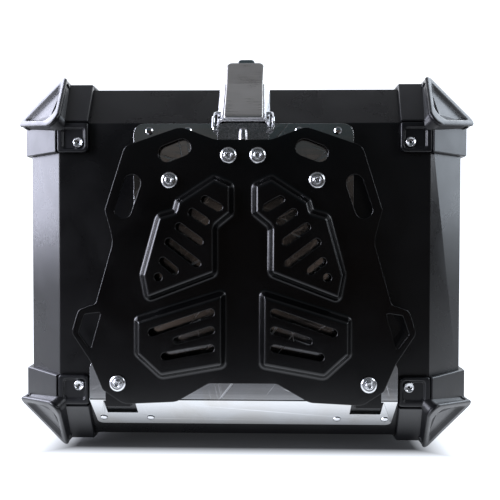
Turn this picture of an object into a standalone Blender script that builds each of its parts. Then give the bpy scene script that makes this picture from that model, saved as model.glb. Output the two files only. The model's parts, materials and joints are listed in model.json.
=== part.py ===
"""Motorcycle top case with a quick-release base plate.

Frame: metres, +Z up, X across, -Y towards the latches (front), +Y towards the hinges (rear).
The origin is on the plane of the base plate's four pads, under the middle of the whole object,
latches and key included. Sizes along Y below count from the middle of the case alone, and
CASE_SHIFT moves everything from one to the other.
"""

import math

import bmesh
import bpy
from mathutils import Matrix, Vector

MM = 0.001
GAP = 0.3 * MM                      # air between pieces that touch
CASE_SHIFT = 16.4 * MM              # middle of the case, behind the middle of the whole object

# Case
HALF_X = 200 * MM                   # side walls
HALF_Y = 161 * MM                   # front and rear walls
CHAMFER = 38 * MM                   # 45 degree chamfer on every edge
SHEET = 2 * MM                      # aluminium sheet of body and lid
CASE_Z0 = 23 * MM                   # underside of the body
CASE_Z1 = 311 * MM                  # top of the lid
BODY_TOP = 229.5 * MM
LID_BOTTOM = 231.5 * MM
RIM_HEIGHT = 9 * MM
RIM_WIDTH = 10 * MM
SEAL_HEIGHT = 3.1 * MM

# Base plate
PAD_DEPTH = 8.5 * MM                # the pads stand this far below the plate
PAD_WALL = 6 * MM                   # run of the pads' sloped walls
PLATE_Z0 = PAD_DEPTH
PLATE_T = 2.5 * MM
PLATE_Z1 = PLATE_Z0 + PLATE_T
SLOT_RADIUS = 3.4 * MM
SCREW_RADIUS = 3 * MM
SCREW_SPOTS = [(62.5, -72), (12.4, -93), (107, 101.3)]          # mm, and mirrored
BUFFER_SPOTS = [(62.5, -72), (75, 92)]

# Adapter plate
ADAPTER_Z0 = 14.5 * MM
ADAPTER_T = 2 * MM
ADAPTER_FRONT = -121 * MM
ADAPTER_BEND = 118 * MM
FLANGE_LENGTH = 40 * MM
WINDOW_X = (94 * MM, 121 * MM)
WINDOW_LENGTH = 21 * MM
RIVET_RADIUS = 1.6 * MM
FRONT_RIVETS = [(47.4, -114.8), (80.7, -114.8)]                 # mm, and mirrored
FLANGE_RIVETS = [83.5, 126]                                     # mm, and mirrored
FLANGE_RIVET_S = 29 * MM

# Corner guards
GUARD_REACH = 64 * MM               # from the outer planes to the tabs' ends
GUARD_T = 4.8 * MM
BUMPER_PROUD = 12 * MM              # the bumper's side tips stand this far out of the walls
BUMPER_SET = 34 * MM                # and this far in from the other two planes
BUMPER_TILT = 1.12                  # the bumper's plane leans a little towards the case's underside
BUMPER_OUTLINE = [(74, 0, 8.6), (-6, 34, 6), (-6, -34, 6)]      # mm from the middle of the side tips
BUMPER_FLARE = [(0, 0), (3, 1.6), (9, 5.2), (21, 8.5)]          # mm behind its rim, and narrower by
BUMPER_RIM = 4.5 * MM
BUMPER_RECESS = 3.4 * MM
TAB_SPOT = 56 * MM                  # the tabs' rivet pockets, from the two near planes
POCKET_RADIUS = 6.5 * MM
POCKET_DEPTH = 3 * MM

# Hinges
HINGE_X = 98 * MM
HINGE_LENGTH = 60 * MM
HINGE_AXIS = Vector((0, HALF_Y + 5 * MM, 231 * MM))
KNUCKLE_RADIUS = 3.8 * MM
PIN_RADIUS = 1.9 * MM
LEAF_T = 1.5 * MM
LEAF_HEIGHT = 30 * MM

# Latches, in a frame of their own: origin on the lever's pivot, +Y along the lever, +Z outwards
PIVOT_LIFT = 4.6 * MM               # pivot above the wall it is mounted on
LEVER_HALF = 15.6 * MM
LEVER_T = 1.5 * MM
LEVER_FACE = 4.7 * MM               # outer face above the pivot
LEVER_TOE = -5 * MM
WALL_LOW = 21.3 * MM                # half width of the base's flared walls at the case
WALL_HIGH = 17.2 * MM               # and at their edge
WALL_EDGE = 3.4 * MM
LATCH_PIN = 1.5 * MM
CRANK = 7 * MM                      # lever pivot to bail pivot
BAIL_RADIUS = 1.25 * MM
BAIL_HALF = 25.5 * MM
BAIL_OUT = 5.6 * MM
RELEASE_BODY = 48 * MM               # pivot to the bend of the lever
RELEASE_LENGTH = 83 * MM
RELEASE_HOOKS = [(BAIL_HALF, -7.1 * MM, 3.9 * MM), (BAIL_HALF, -16.9 * MM, -1.2 * MM),
                 (BAIL_HALF - 5 * MM, -16.9 * MM, -1.2 * MM)]   # under the keeper's sides
LID_LEVER_LENGTH = 128 * MM
LID_HOOK = 24 * MM
LOCK_S = 112 * MM                    # pivot to the lock's axis
LOCK_RADIUS = 6.5 * MM
LID_PIVOT_Z = 221 * MM

COLOURS = {
    "black_coat": ((0.012, 0.012, 0.014), 0.42, 0.0),
    "plate_coat": ((0.010, 0.010, 0.011), 0.38, 0.0),
    "guard_plastic": ((0.030, 0.031, 0.036), 0.50, 0.0),
    "bare_aluminium": ((0.62, 0.63, 0.64), 0.38, 1.0),
    "stainless": ((0.50, 0.49, 0.47), 0.30, 1.0),
    "chrome": ((0.72, 0.72, 0.74), 0.15, 1.0),
    "rubber": ((0.015, 0.015, 0.015), 0.80, 0.0),
    "liner": ((0.035, 0.035, 0.038), 0.90, 0.0),
}


# ---------------------------------------------------------------- scene and helpers

for old in list(bpy.data.objects):
    bpy.data.objects.remove(old, do_unlink=True)

parts = bpy.data.collections.new("top_case")
cutters = bpy.data.collections.new("cutters")
bpy.context.scene.collection.children.link(parts)
bpy.context.scene.collection.children.link(cutters)

case_middle = bpy.data.objects.new("case_middle", None)
case_middle.location = (0, CASE_SHIFT, 0)
bpy.context.scene.collection.objects.link(case_middle)


def material(name):
    """The named finish, made on first use."""
    found = bpy.data.materials.get(name)
    if found:
        return found
    colour, roughness, metallic = COLOURS[name]
    mat = bpy.data.materials.new(name)
    mat.use_nodes = True
    shader = mat.node_tree.nodes["Principled BSDF"]
    shader.inputs["Base Color"].default_value = (*colour, 1)
    shader.inputs["Roughness"].default_value = roughness
    shader.inputs["Metallic"].default_value = metallic
    return mat


def face_out(bm):
    """Turn all faces of a closed bmesh outwards."""
    bmesh.ops.recalc_face_normals(bm, faces=bm.faces)
    if bm.calc_volume(signed=True) < 0:
        bmesh.ops.reverse_faces(bm, faces=bm.faces)


def mesh_from(bm, name):
    """A bmesh as a mesh."""
    mesh = bpy.data.meshes.new(name)
    bm.to_mesh(mesh)
    bm.free()
    return mesh


def place(name, data, collection, matrix=None):
    """An object under the case's middle, so that its matrix counts from there."""
    obj = bpy.data.objects.new(name, data)
    obj.parent = case_middle
    if matrix is not None:
        obj.matrix_basis = matrix
    collection.objects.link(obj)
    return obj


def add(name, mesh, finish, matrix=None):
    """One sub-part of the case."""
    obj = place(name, mesh, parts, matrix)
    obj.data.materials.clear()
    obj.data.materials.append(material(finish))
    return obj


def cutter(mesh, matrix=None):
    """A helper solid for Boolean modifiers, never part of the model."""
    obj = place("cut_" + mesh.name, mesh, cutters, matrix)
    obj.hide_render = True
    obj.display_type = "WIRE"
    return obj


def boolean(obj, other, operation="DIFFERENCE"):
    mod = obj.modifiers.new(operation.lower(), "BOOLEAN")
    mod.operation = operation
    mod.solver = "EXACT"
    mod.object = other
    return mod


def evaluated(obj):
    """The object's mesh with its modifiers applied."""
    bpy.context.view_layer.update()
    graph = bpy.context.evaluated_depsgraph_get()
    return bpy.data.meshes.new_from_object(obj.evaluated_get(graph))


def smooth(mesh, angle=35):
    mesh.shade_smooth()
    mesh.set_sharp_from_angle(angle=math.radians(angle))
    return mesh


def rounded(corners, steps=3):
    """An outline in metres from corners (x, y, radius) in millimetres, each turned into an arc."""
    points = []
    count = len(corners)
    for index, (x, y, radius) in enumerate(corners):
        here = Vector((x, y)) * MM
        back = (Vector(corners[index - 1][:2]) * MM - here).normalized()
        ahead = (Vector(corners[(index + 1) % count][:2]) * MM - here).normalized()
        if radius == 0:
            points.append(here)
            continue
        half = back.angle(ahead) / 2
        reach = radius * MM / math.tan(half)
        centre = here + (back + ahead).normalized() * (radius * MM / math.sin(half))
        start = here + back * reach - centre
        turn = math.pi - 2 * half
        if back.cross(ahead) > 0:
            turn = -turn
        for step in range(steps + 1):
            angle = turn * step / steps
            spin = Matrix.Rotation(angle, 2)
            points.append(centre + spin @ start)
    return points


def inset(corners, distance):
    """The corners moved inwards by a distance in millimetres, on an anticlockwise outline."""
    moved = []
    count = len(corners)
    for index, (x, y, radius) in enumerate(corners):
        here = Vector((x, y))
        back = (here - Vector(corners[index - 1][:2])).normalized()
        ahead = (Vector(corners[(index + 1) % count][:2]) - here).normalized()
        normal_a = Vector((-back.y, back.x))
        normal_b = Vector((-ahead.y, ahead.x))
        step = (normal_a + normal_b) * (distance / (1 + normal_a.dot(normal_b)))
        convex = back.cross(ahead) > 0
        fresh = max(radius - distance, 1.2) if convex else radius + distance
        moved.append((x + step.x, y + step.y, fresh))
    return moved


def mirrored(corners):
    """The same outline on the other side of the YZ plane, still anticlockwise."""
    return [(-x, y, radius) for x, y, radius in reversed(corners)]


def slab(name, outlines, z0, thickness):
    """A flat plate: the first outline, less the others, as a filled 2D curve with thickness."""
    curve = bpy.data.curves.new(name, "CURVE")
    curve.dimensions = "2D"
    curve.fill_mode = "BOTH"
    curve.extrude = thickness / 2
    for outline in outlines:
        spline = curve.splines.new("POLY")
        spline.points.add(len(outline) - 1)
        for point, corner in zip(spline.points, outline):
            point.co = (corner[0], corner[1], 0, 1)
        spline.use_cyclic_u = True
    return curve_mesh(curve, Matrix.Translation((0, 0, z0 + thickness / 2)))


def curve_mesh(curve, matrix=None):
    """A closed mesh from a curve, its loose caps welded."""
    obj = place(curve.name, curve, cutters)
    mesh = evaluated(obj)
    bpy.data.objects.remove(obj, do_unlink=True)
    bm = bmesh.new()
    bm.from_mesh(mesh)
    bmesh.ops.remove_doubles(bm, verts=bm.verts, dist=0.00001)
    if matrix is not None:
        bm.transform(matrix)
    face_out(bm)
    return mesh_from(bm, curve.name)


def wire(name, points, radius, resolution=2):
    """A round wire through the points, with filled ends."""
    curve = bpy.data.curves.new(name, "CURVE")
    curve.dimensions = "3D"
    curve.bevel_depth = radius
    curve.bevel_resolution = resolution
    curve.use_fill_caps = True
    spline = curve.splines.new("POLY")
    spline.points.add(len(points) - 1)
    for point, spot in zip(spline.points, points):
        point.co = (*spot, 1)
    return curve_mesh(curve)


def loft(name, rings):
    """A closed solid through rings of equal length, each a list of 3D points."""
    bm = bmesh.new()
    loops = [[bm.verts.new(point) for point in ring] for ring in rings]
    for low, high in zip(loops, loops[1:]):
        for index in range(len(low)):
            after = (index + 1) % len(low)
            bm.faces.new((low[index], low[after], high[after], high[index]))
    bm.faces.new(list(reversed(loops[0])))
    bm.faces.new(loops[-1])
    face_out(bm)
    return mesh_from(bm, name)


def box(name, low, high):
    bm = bmesh.new()
    bmesh.ops.create_cube(bm, size=1)
    centre = (Vector(low) + Vector(high)) / 2
    size = Vector(high) - Vector(low)
    bm.transform(Matrix.Translation(centre) @ Matrix.Diagonal((*size, 1)))
    return mesh_from(bm, name)


def cylinder(name, radius, length, segments=16):
    """A cylinder along Z, centred on the origin."""
    bm = bmesh.new()
    bmesh.ops.create_cone(bm, cap_ends=True, segments=segments, radius1=radius,
                          radius2=radius, depth=length)
    return mesh_from(bm, name)


def turned(name, profile, steps=16):
    """A turned piece about Z: the profile (radius, z) in mm runs down the outer side."""
    bm = bmesh.new()
    verts = [bm.verts.new((radius * MM, 0, z * MM)) for radius, z in profile]
    for first, second in zip(verts, verts[1:]):
        bm.edges.new((first, second))
    obj = place(name, mesh_from(bm, name), cutters)
    screw = obj.modifiers.new("turn", "SCREW")
    screw.axis = "Z"
    screw.steps = steps
    screw.render_steps = steps
    screw.use_merge_vertices = True
    screw.merge_threshold = 0.00002
    mesh = evaluated(obj)
    bpy.data.objects.remove(obj, do_unlink=True)
    bm = bmesh.new()
    bm.from_mesh(mesh)
    bmesh.ops.remove_doubles(bm, verts=bm.verts, dist=0.000005)
    bmesh.ops.dissolve_degenerate(bm, edges=bm.edges, dist=0.000005)
    face_out(bm)
    return smooth(mesh_from(bm, name))


def octagon(depth):
    """The case's plan outline in metres, moved inwards by a depth."""
    x = HALF_X - depth
    y = HALF_Y - depth
    cut = CHAMFER - depth * (2 - math.sqrt(2))
    return [(x, y - cut), (x - cut, y), (cut - x, y), (-x, y - cut),
            (-x, cut - y), (cut - x, -y), (x - cut, -y), (x, cut - y)]


# ---------------------------------------------------------------- base plate

PLATE_HALF = [
    (0, -106.5, 0), (24, -106.5, 18), (53, -117.5, 14), (101, -101, 9), (118, -47, 5),
    (111, -20, 22), (126, 33, 4), (141, 38.5, 6), (147, 58, 8), (130, 84, 24),
    (120, 107.5, 6), (102, 119.5, 14), (57, 117.3, 14), (29, 101.3, 8), (0, 101.3, 0),
]
PADS = [
    [(24.7, -78, 5), (19.8, -31, 6), (19.6, 9.5, 8), (84, 34, 7), (89, 8, 8), (74.5, -44.5, 9),
     (60.5, -48.3, 3), (58.5, -56, 6)],
    [(12.8, 18.3, 6), (12.7, 88.2, 7), (70.5, 98.5, 9), (93.8, 77, 7), (93.8, 43.7, 6)],
]
PAD_INNER = [(6.1, -70, 7), (6.1, -42.3, 6)]
PAD_SLOTS = [
    (33.2, -56, 18.6, -47.7), (43.9, -45.5, 29.9, -36), (54.8, -33.5, 34.8, -19),
    (63.4, -20.8, 36.9, -0.5), (68.2, -4.8, 55.8, 5.5), (70.9, 9.8, 70.8, 9.8),
    (77.8, 57, 25, 39), (56.8, 64, 25, 54), (67, 77, 25, 69.3),
]
OBLONGS = [
    # centre, half length between the arc centres, radius, angle of the long axis (mm, degrees)
    (58.3, -97.3, 7, 7.3, 21),
    (98.4, -58.4, 12, 7.3, 71),
]
EAR_CUT = [(121.5, 40.5, 1.5), (135.5, 42.5, 2), (141, 58.5, 2), (130.5, 72.5, 1.5)]


def plate_outline():
    right = PLATE_HALF
    left = [(-x, y, radius) for x, y, radius in reversed(right)]
    return rounded(right + left[1:-1], steps=4)


def stadium(x, y, half, radius, degrees, steps=6):
    """A slot outline with round ends, in metres from millimetres."""
    along = Vector((math.cos(math.radians(degrees)), math.sin(math.radians(degrees))))
    across = Vector((-along.y, along.x))
    points = []
    for end in (1, -1):
        for step in range(steps + 1):
            angle = math.pi * (step / steps - 0.5)
            offset = along * (math.cos(angle) * radius * end) + across * (math.sin(angle) * radius * end)
            points.append((Vector((x, y)) + along * (half * end) + offset) * MM)
    return points


def pad_corners(index):
    """A pad's corners on the right-hand side, anticlockwise."""
    corners = list(PADS[index])
    if index == 0:
        corners = corners[:1] + PAD_INNER + corners[1:]
    area = sum(a[0] * b[1] - b[0] * a[1] for a, b in zip(corners, corners[1:] + corners[:1]))
    return corners if area > 0 else list(reversed(corners))


def frustum(name, corners, z_wide, z_narrow, wide, narrow):
    """A solid between an outline inset by wide at z_wide and by narrow at z_narrow."""
    ring_a = [(p[0], p[1], z_wide) for p in rounded(inset(corners, wide))]
    ring_b = [(p[0], p[1], z_narrow) for p in rounded(inset(corners, narrow))]
    return loft(name, [ring_a, ring_b])


def make_base_plate():
    holes = []
    for side in (1, -1):
        for x, y, half, radius, degrees in OBLONGS:
            holes.append(stadium(side * x, y, half, radius, degrees if side > 0 else 180 - degrees))
        ear = EAR_CUT if side > 0 else mirrored(EAR_CUT)
        holes.append(rounded(ear, steps=2))
        for x, y in SCREW_SPOTS:
            holes.append(stadium(side * x, y, 0.01, (SCREW_RADIUS + GAP) / MM, 0))
    plate = add("base_plate", slab("base_plate", [plate_outline()] + holes, PLATE_Z0, PLATE_T),
                "plate_coat")
    wall = PAD_WALL / MM
    for side in (1, -1):
        for index in range(len(PADS)):
            corners = pad_corners(index)
            if side < 0:
                corners = mirrored(corners)
            outside = frustum("pad_out", corners, PLATE_Z0 + PLATE_T / 2, 0, 0, wall)
            boolean(plate, cutter(outside), "UNION")
            inside = frustum("pad_in", corners, PLATE_Z1 + MM, PLATE_T, 2.0, wall + 1.6)
            boolean(plate, cutter(inside))
        for x0, y0, x1, y1 in PAD_SLOTS:
            centre = ((x0 + x1) / 2 * side, (y0 + y1) / 2)
            half = max(math.hypot(x1 - x0, y1 - y0) / 2 - SLOT_RADIUS / MM * 0.6, 0.01)
            degrees = math.degrees(math.atan2(y1 - y0, (x1 - x0) * side))
            outline = stadium(*centre, half, SLOT_RADIUS / MM, degrees, steps=4)
            boolean(plate, cutter(slab("pad_slot", [outline], -MM, PLATE_T + 2 * MM)))


make_base_plate()


# ---------------------------------------------------------------- pieces on the base plate

SCREW_PROFILE = [
    (0, 3.0), (2.95, 3.0), (2.95, -0.35), (6.9, -0.35), (7.0, -1.1), (5.4, -1.9), (4.6, -3.0),
    (4.2, -4.9), (3.7, -5.3), (0, -5.3),
]
BUFFER_PROFILE = [(3.4, 2.8), (9.2, 2.8), (10, 2.0), (10, 0.3), (3.4, 0.3), (3.4, 2.8)]
SPACER_PROFILE = [(2.0, 6.1), (6, 6.1), (6, 0.3), (2.0, 0.3), (2.0, 6.1)]


def make_screws():
    mesh = turned("plate_screw", SCREW_PROFILE)
    solid = place("screw_blank", mesh, cutters)
    socket = cylinder("socket", 2.3 * MM, 6 * MM, segments=6)
    boolean(solid, cutter(socket, Matrix.Translation((0, 0, -5.3 * MM))))
    finished = smooth(evaluated(solid))
    bpy.data.objects.remove(solid, do_unlink=True)
    number = 1
    for x, y in SCREW_SPOTS:
        for side in (-1, 1):
            spot = Matrix.Translation((side * x * MM, y * MM, PLATE_Z0))
            add("plate_screw_%d" % number, finished, "chrome", spot)
            number += 1


def make_buffers():
    mesh = turned("buffer", BUFFER_PROFILE)
    number = 1
    for x, y in BUFFER_SPOTS:
        for side in (-1, 1):
            spot = Matrix.Translation((side * x * MM, y * MM, PLATE_Z1))
            add("rubber_buffer_%d" % number, mesh, "rubber", spot)
            number += 1


def make_keeper():
    half = 22
    outline = rounded([(-half, -121, 7), (half, -121, 7), (half, -84, 3), (-half, -84, 3)], steps=4)
    holes = [stadium(side * 12.4, -93, 0.01, (SCREW_RADIUS + GAP) / MM, 0) for side in (-1, 1)]
    z0 = PLATE_Z1 + GAP
    tongue = add("latch_keeper", slab("latch_keeper", [outline] + holes, z0, 2 * MM), "stainless")
    rib = loft("keeper_rib", [
        [(-2.2 * MM, -115 * MM, z0 + MM), (2.2 * MM, -115 * MM, z0 + MM), (0, -115 * MM, z0 - 0.2 * MM)],
        [(-5 * MM, -107.5 * MM, z0 + MM), (5 * MM, -107.5 * MM, z0 + MM), (0, -107.5 * MM, z0 - 2.4 * MM)],
    ])
    boolean(tongue, cutter(rib), "UNION")


def make_rear_hooks():
    """C-shaped brackets whose lips reach over the rear edge of the adapter's flat."""
    z0 = (PLATE_Z1 + GAP) / MM
    side_view = [(88, z0), (122.5, z0), (122.5, 19.3), (108, 19.3), (108, 16.8), (120, 16.8),
                 (120, z0 + 2.5), (88, z0 + 2.5)]
    for side, name in ((-1, "left"), (1, "right")):
        rings = [[(side * x * MM, y * MM, z * MM) for y, z in side_view] for x in (96.5, 118.5)]
        hook = add("rear_hook_" + name, loft("rear_hook", rings), "plate_coat")
        hole = cylinder("hook_hole", SCREW_RADIUS + GAP, 10 * MM)
        boolean(hook, cutter(hole, Matrix.Translation((side * 107 * MM, 101.3 * MM, z0 * MM))))


make_screws()
make_buffers()
make_keeper()
make_rear_hooks()


# ---------------------------------------------------------------- adapter plate under the case

FLANGE = Matrix.Translation((0, ADAPTER_BEND, ADAPTER_Z0)) @ Matrix.Rotation(math.radians(45), 4, "X")


def make_adapter():
    right = [(94.3, 62, 12), (133, 84, 12), (133, 118, 0)]
    front = [(94.3, -121, 9)]
    corners = front + right
    left = [(-x, y, radius) for x, y, radius in reversed(corners)]
    flat = slab("adapter_plate", [rounded(corners + left, steps=4)], ADAPTER_Z0, ADAPTER_T)
    plate = add("adapter_plate", flat, "bare_aluminium")
    tip = rounded([(-133, -1, 0), (133, -1, 0), (133, FLANGE_LENGTH / MM, 5),
                   (-133, FLANGE_LENGTH / MM, 5)], steps=3)
    flange = slab("adapter_flange", [tip], 0, ADAPTER_T)
    boolean(plate, cutter(flange, FLANGE), "UNION")
    for side in (-1, 1):
        edges = sorted((side * WINDOW_X[0], side * WINDOW_X[1]))
        window = box("window", (edges[0], 0.2 * MM, -6 * MM), (edges[1], WINDOW_LENGTH, 6 * MM))
        boolean(plate, cutter(window, FLANGE))
        for x, y in FRONT_RIVETS:
            hole = cylinder("rivet_hole", RIVET_RADIUS + GAP, 10 * MM, segments=12)
            boolean(plate, cutter(hole, Matrix.Translation((side * x * MM, y * MM, ADAPTER_Z0))))
        for x in FLANGE_RIVETS:
            hole = cylinder("rivet_hole", RIVET_RADIUS + GAP, 6 * MM, segments=12)
            spot = FLANGE @ Matrix.Translation((side * x * MM, FLANGE_RIVET_S, 0))
            boolean(plate, cutter(hole, spot))


def rivet_profile(length):
    """A domed rivet: head below z = 0, shank upwards."""
    return [(0, length), (1.55, length), (1.55, -0.3), (3.5, -0.3), (3.3, -0.9), (2.3, -1.6),
            (0, -1.9)]


def make_rivets():
    long_rivet = turned("rivet", rivet_profile(7.5), steps=12)
    short_rivet = turned("flange_rivet", rivet_profile(2.2), steps=12)
    number = 1
    for x, y in FRONT_RIVETS:
        for side in (-1, 1):
            spot = Matrix.Translation((side * x * MM, y * MM, ADAPTER_Z0))
            add("adapter_rivet_%d" % number, long_rivet, "bare_aluminium", spot)
            spacer = turned("spacer", SPACER_PROFILE, steps=12)
            above = Matrix.Translation((side * x * MM, y * MM, ADAPTER_Z0 + ADAPTER_T))
            add("adapter_spacer_%d" % number, spacer, "rubber", above)
            number += 1
    for x in FLANGE_RIVETS:
        for side in (-1, 1):
            spot = FLANGE @ Matrix.Translation((side * x * MM, FLANGE_RIVET_S, 0))
            add("adapter_rivet_%d" % number, short_rivet, "bare_aluminium", spot)
            number += 1


make_adapter()
make_rivets()


# ---------------------------------------------------------------- body and lid

def case_surface(keep_below, height):
    """The chamfered case's surface, cut at a height, as an open shell."""
    bm = bmesh.new()
    bmesh.ops.create_cube(bm, size=2)
    middle = (CASE_Z0 + CASE_Z1) / 2
    half_z = (CASE_Z1 - CASE_Z0) / 2
    bm.transform(Matrix.Translation((0, 0, middle)) @ Matrix.Diagonal((HALF_X, HALF_Y, half_z, 1)))
    bmesh.ops.bevel(bm, geom=list(bm.edges), offset=CHAMFER, offset_type="OFFSET", segments=1,
                    affect="EDGES", profile=0.5, clamp_overlap=False)
    bmesh.ops.bisect_plane(bm, geom=list(bm.verts) + list(bm.edges) + list(bm.faces),
                           plane_co=(0, 0, height), plane_no=(0, 0, 1),
                           clear_outer=keep_below, clear_inner=not keep_below)
    return mesh_from(bm, "case_surface")


def make_shell(name, keep_below, height):
    shell = add(name, case_surface(keep_below, height), "black_coat")
    solidify = shell.modifiers.new("sheet", "SOLIDIFY")
    solidify.thickness = SHEET
    solidify.offset = -1
    solidify.use_even_offset = True


def ring(name, finish, outer, inner, z0, height):
    add(name, slab(name, [octagon(outer), octagon(inner)], z0, height), finish)


def panel(name, half_x, half_y, z0, height):
    outline = rounded([(-half_x, -half_y, 14), (half_x, -half_y, 14), (half_x, half_y, 14),
                       (-half_x, half_y, 14)], steps=4)
    add(name, slab(name, [outline], z0, height), "liner")


RIM_OUTER = SHEET + GAP
make_shell("body_shell", True, BODY_TOP)
make_shell("lid_shell", False, LID_BOTTOM)
ring("body_rim", "bare_aluminium", RIM_OUTER, RIM_OUTER + RIM_WIDTH, BODY_TOP - RIM_HEIGHT, RIM_HEIGHT)
SEAL_Z0 = BODY_TOP + GAP
ring("lid_seal", "rubber", 3.5 * MM, 9.5 * MM, SEAL_Z0, SEAL_HEIGHT)
ring("lid_rim", "bare_aluminium", RIM_OUTER, RIM_OUTER + RIM_WIDTH, SEAL_Z0 + SEAL_HEIGHT + GAP,
     RIM_HEIGHT)
panel("floor_mat", 158, 119, CASE_Z0 + SHEET + GAP, 4 * MM)
panel("lid_liner", 158, 119, CASE_Z1 - SHEET - GAP - 4 * MM, 4 * MM)


# ---------------------------------------------------------------- corner guards

BUMPER_INWARD = Vector((1, 1, BUMPER_TILT)).normalized()
BUMPER_DOWN = Vector((BUMPER_TILT, BUMPER_TILT, -2)).normalized()
BUMPER_ACROSS = BUMPER_INWARD.cross(BUMPER_DOWN)
BUMPER_MIDDLE = Vector(((BUMPER_SET - BUMPER_PROUD) / 2, (BUMPER_SET - BUMPER_PROUD) / 2, BUMPER_SET))


def bumper_ring(depth, shrink):
    """The bumper's rounded triangle, moved in from its rim's plane and shrunk all round."""
    middle = BUMPER_MIDDLE + BUMPER_INWARD * depth
    outline = rounded(inset(BUMPER_OUTLINE, shrink / MM))
    return [middle + BUMPER_DOWN * x + BUMPER_ACROSS * y for x, y in outline]


def case_corner(air, reach):
    """The case's chamfered corner as a block, grown by some air on its outer sides."""
    bm = bmesh.new()
    bmesh.ops.create_cube(bm, size=1)
    side = reach + air
    bm.transform(Matrix.Translation([(reach - air) / 2] * 3) @ Matrix.Diagonal((side, side, side, 1)))
    near = [edge for edge in bm.edges
            if sum(1 for axis in range(3) if all(v.co[axis] < 0 for v in edge.verts)) == 2]
    bmesh.ops.bevel(bm, geom=near, offset=CHAMFER + air * 0.59, offset_type="OFFSET", segments=1,
                    affect="EDGES", profile=0.5, clamp_overlap=False)
    return bm


def guard_mesh():
    """A guard in corner coordinates: u, v, w run inwards from the three outer planes."""
    bm = case_corner(GAP, GUARD_REACH)
    far = [face for face in bm.faces
           if any(all(v.co[axis] > GUARD_REACH - 0.01 * MM for v in face.verts) for axis in range(3))]
    bmesh.ops.delete(bm, geom=far, context="FACES")
    bmesh.ops.recalc_face_normals(bm, faces=bm.faces)
    first = bm.faces[:][0]
    if first.normal.dot(first.calc_center_median() - Vector([GUARD_REACH] * 3)) < 0:
        bmesh.ops.reverse_faces(bm, faces=bm.faces)
    skin = place("guard_skin", mesh_from(bm, "guard_skin"), cutters)
    solidify = skin.modifiers.new("wall", "SOLIDIFY")
    solidify.thickness = GUARD_T
    solidify.offset = 1
    solidify.use_even_offset = True

    bumper = cutter(loft("bumper", [bumper_ring(depth * MM, shrink * MM)
                                    for depth, shrink in reversed(BUMPER_FLARE)]))
    boolean(bumper, cutter(mesh_from(case_corner(GAP + MM, 2 * GUARD_REACH), "inner")))
    boolean(skin, bumper, "UNION")
    recess = loft("recess", [bumper_ring(-MM, BUMPER_RIM - 0.4 * MM),
                             bumper_ring(BUMPER_RECESS, BUMPER_RIM + 2 * MM)])
    boolean(skin, cutter(recess))
    for axis in range(3):
        spot = [TAB_SPOT, TAB_SPOT, TAB_SPOT]
        spot[axis] = -GAP - GUARD_T
        turn = (Matrix.Rotation(math.radians(90), 4, "Y"), Matrix.Rotation(math.radians(90), 4, "X"),
                Matrix.Identity(4))[axis]
        pocket = cylinder("pocket", POCKET_RADIUS, 2 * POCKET_DEPTH)
        boolean(skin, cutter(pocket, Matrix.Translation(spot) @ turn))
    mesh = evaluated(skin)
    bpy.data.objects.remove(skin, do_unlink=True)
    return mesh


def make_guards():
    corner = guard_mesh()
    for part, z, up in (("body", CASE_Z0, 1), ("lid", CASE_Z1, -1)):
        for y_side, y_name in ((-1, "front"), (1, "rear")):
            for x_side, x_name in ((-1, "left"), (1, "right")):
                bm = bmesh.new()
                bm.from_mesh(corner)
                spot = Matrix.Translation((x_side * HALF_X, y_side * HALF_Y, z))
                bm.transform(spot @ Matrix.Diagonal((-x_side, -y_side, up, 1)))
                face_out(bm)
                name = "%s_guard_%s_%s" % (part, y_name, x_name)
                add(name, mesh_from(bm, name), "guard_plastic")


make_guards()


# ---------------------------------------------------------------- hinges

def leaf(name, x_mid, spans, upwards):
    """A hinge leaf on the rear wall with its knuckles around the axis."""
    axis_y = HINGE_AXIS.y
    axis_z = HINGE_AXIS.z
    wall = HALF_Y + GAP
    sign = 1 if upwards else -1
    root = axis_z + sign * 4.6 * MM
    low, high = sorted((root, axis_z + sign * LEAF_HEIGHT))
    half = HINGE_LENGTH / 2
    plate = add(name, box(name, (x_mid - half, wall, low), (x_mid + half, wall + LEAF_T, high)),
                "black_coat")
    for start, end in spans:
        barrel = cylinder("knuckle", KNUCKLE_RADIUS, end - start)
        turn = Matrix.Rotation(math.radians(90), 4, "Y")
        middle = Matrix.Translation((x_mid + (start + end) / 2, axis_y, axis_z))
        boolean(plate, cutter(barrel, middle @ turn), "UNION")
        inner, outer = sorted((axis_z + sign * 1 * MM, root + sign * 2 * MM))
        bridge = box("bridge", (x_mid + start, wall, inner), (x_mid + end, wall + LEAF_T + 1.2 * MM, outer))
        boolean(plate, cutter(bridge), "UNION")
    bore = cylinder("bore", PIN_RADIUS + GAP, HINGE_LENGTH * 1.5)
    centre = Matrix.Translation((x_mid, axis_y, axis_z))
    boolean(plate, cutter(bore, centre @ Matrix.Rotation(math.radians(90), 4, "Y")))


def make_hinges():
    half = HINGE_LENGTH / 2
    third = HINGE_LENGTH / 6
    for side, label in ((-1, "left"), (1, "right")):
        x_mid = side * HINGE_X
        leaf("hinge_body_leaf_" + label, x_mid, [(-half, -third - GAP), (third + GAP, half)], False)
        leaf("hinge_lid_leaf_" + label, x_mid, [(-third, third)], True)
        pin = cylinder("hinge_pin", PIN_RADIUS, HINGE_LENGTH + 2 * MM)
        spot = Matrix.Translation((x_mid, HINGE_AXIS.y, HINGE_AXIS.z))
        add("hinge_pin_" + label, smooth(pin), "chrome",
            spot @ Matrix.Rotation(math.radians(90), 4, "Y"))


make_hinges()


# ---------------------------------------------------------------- latches

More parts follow.
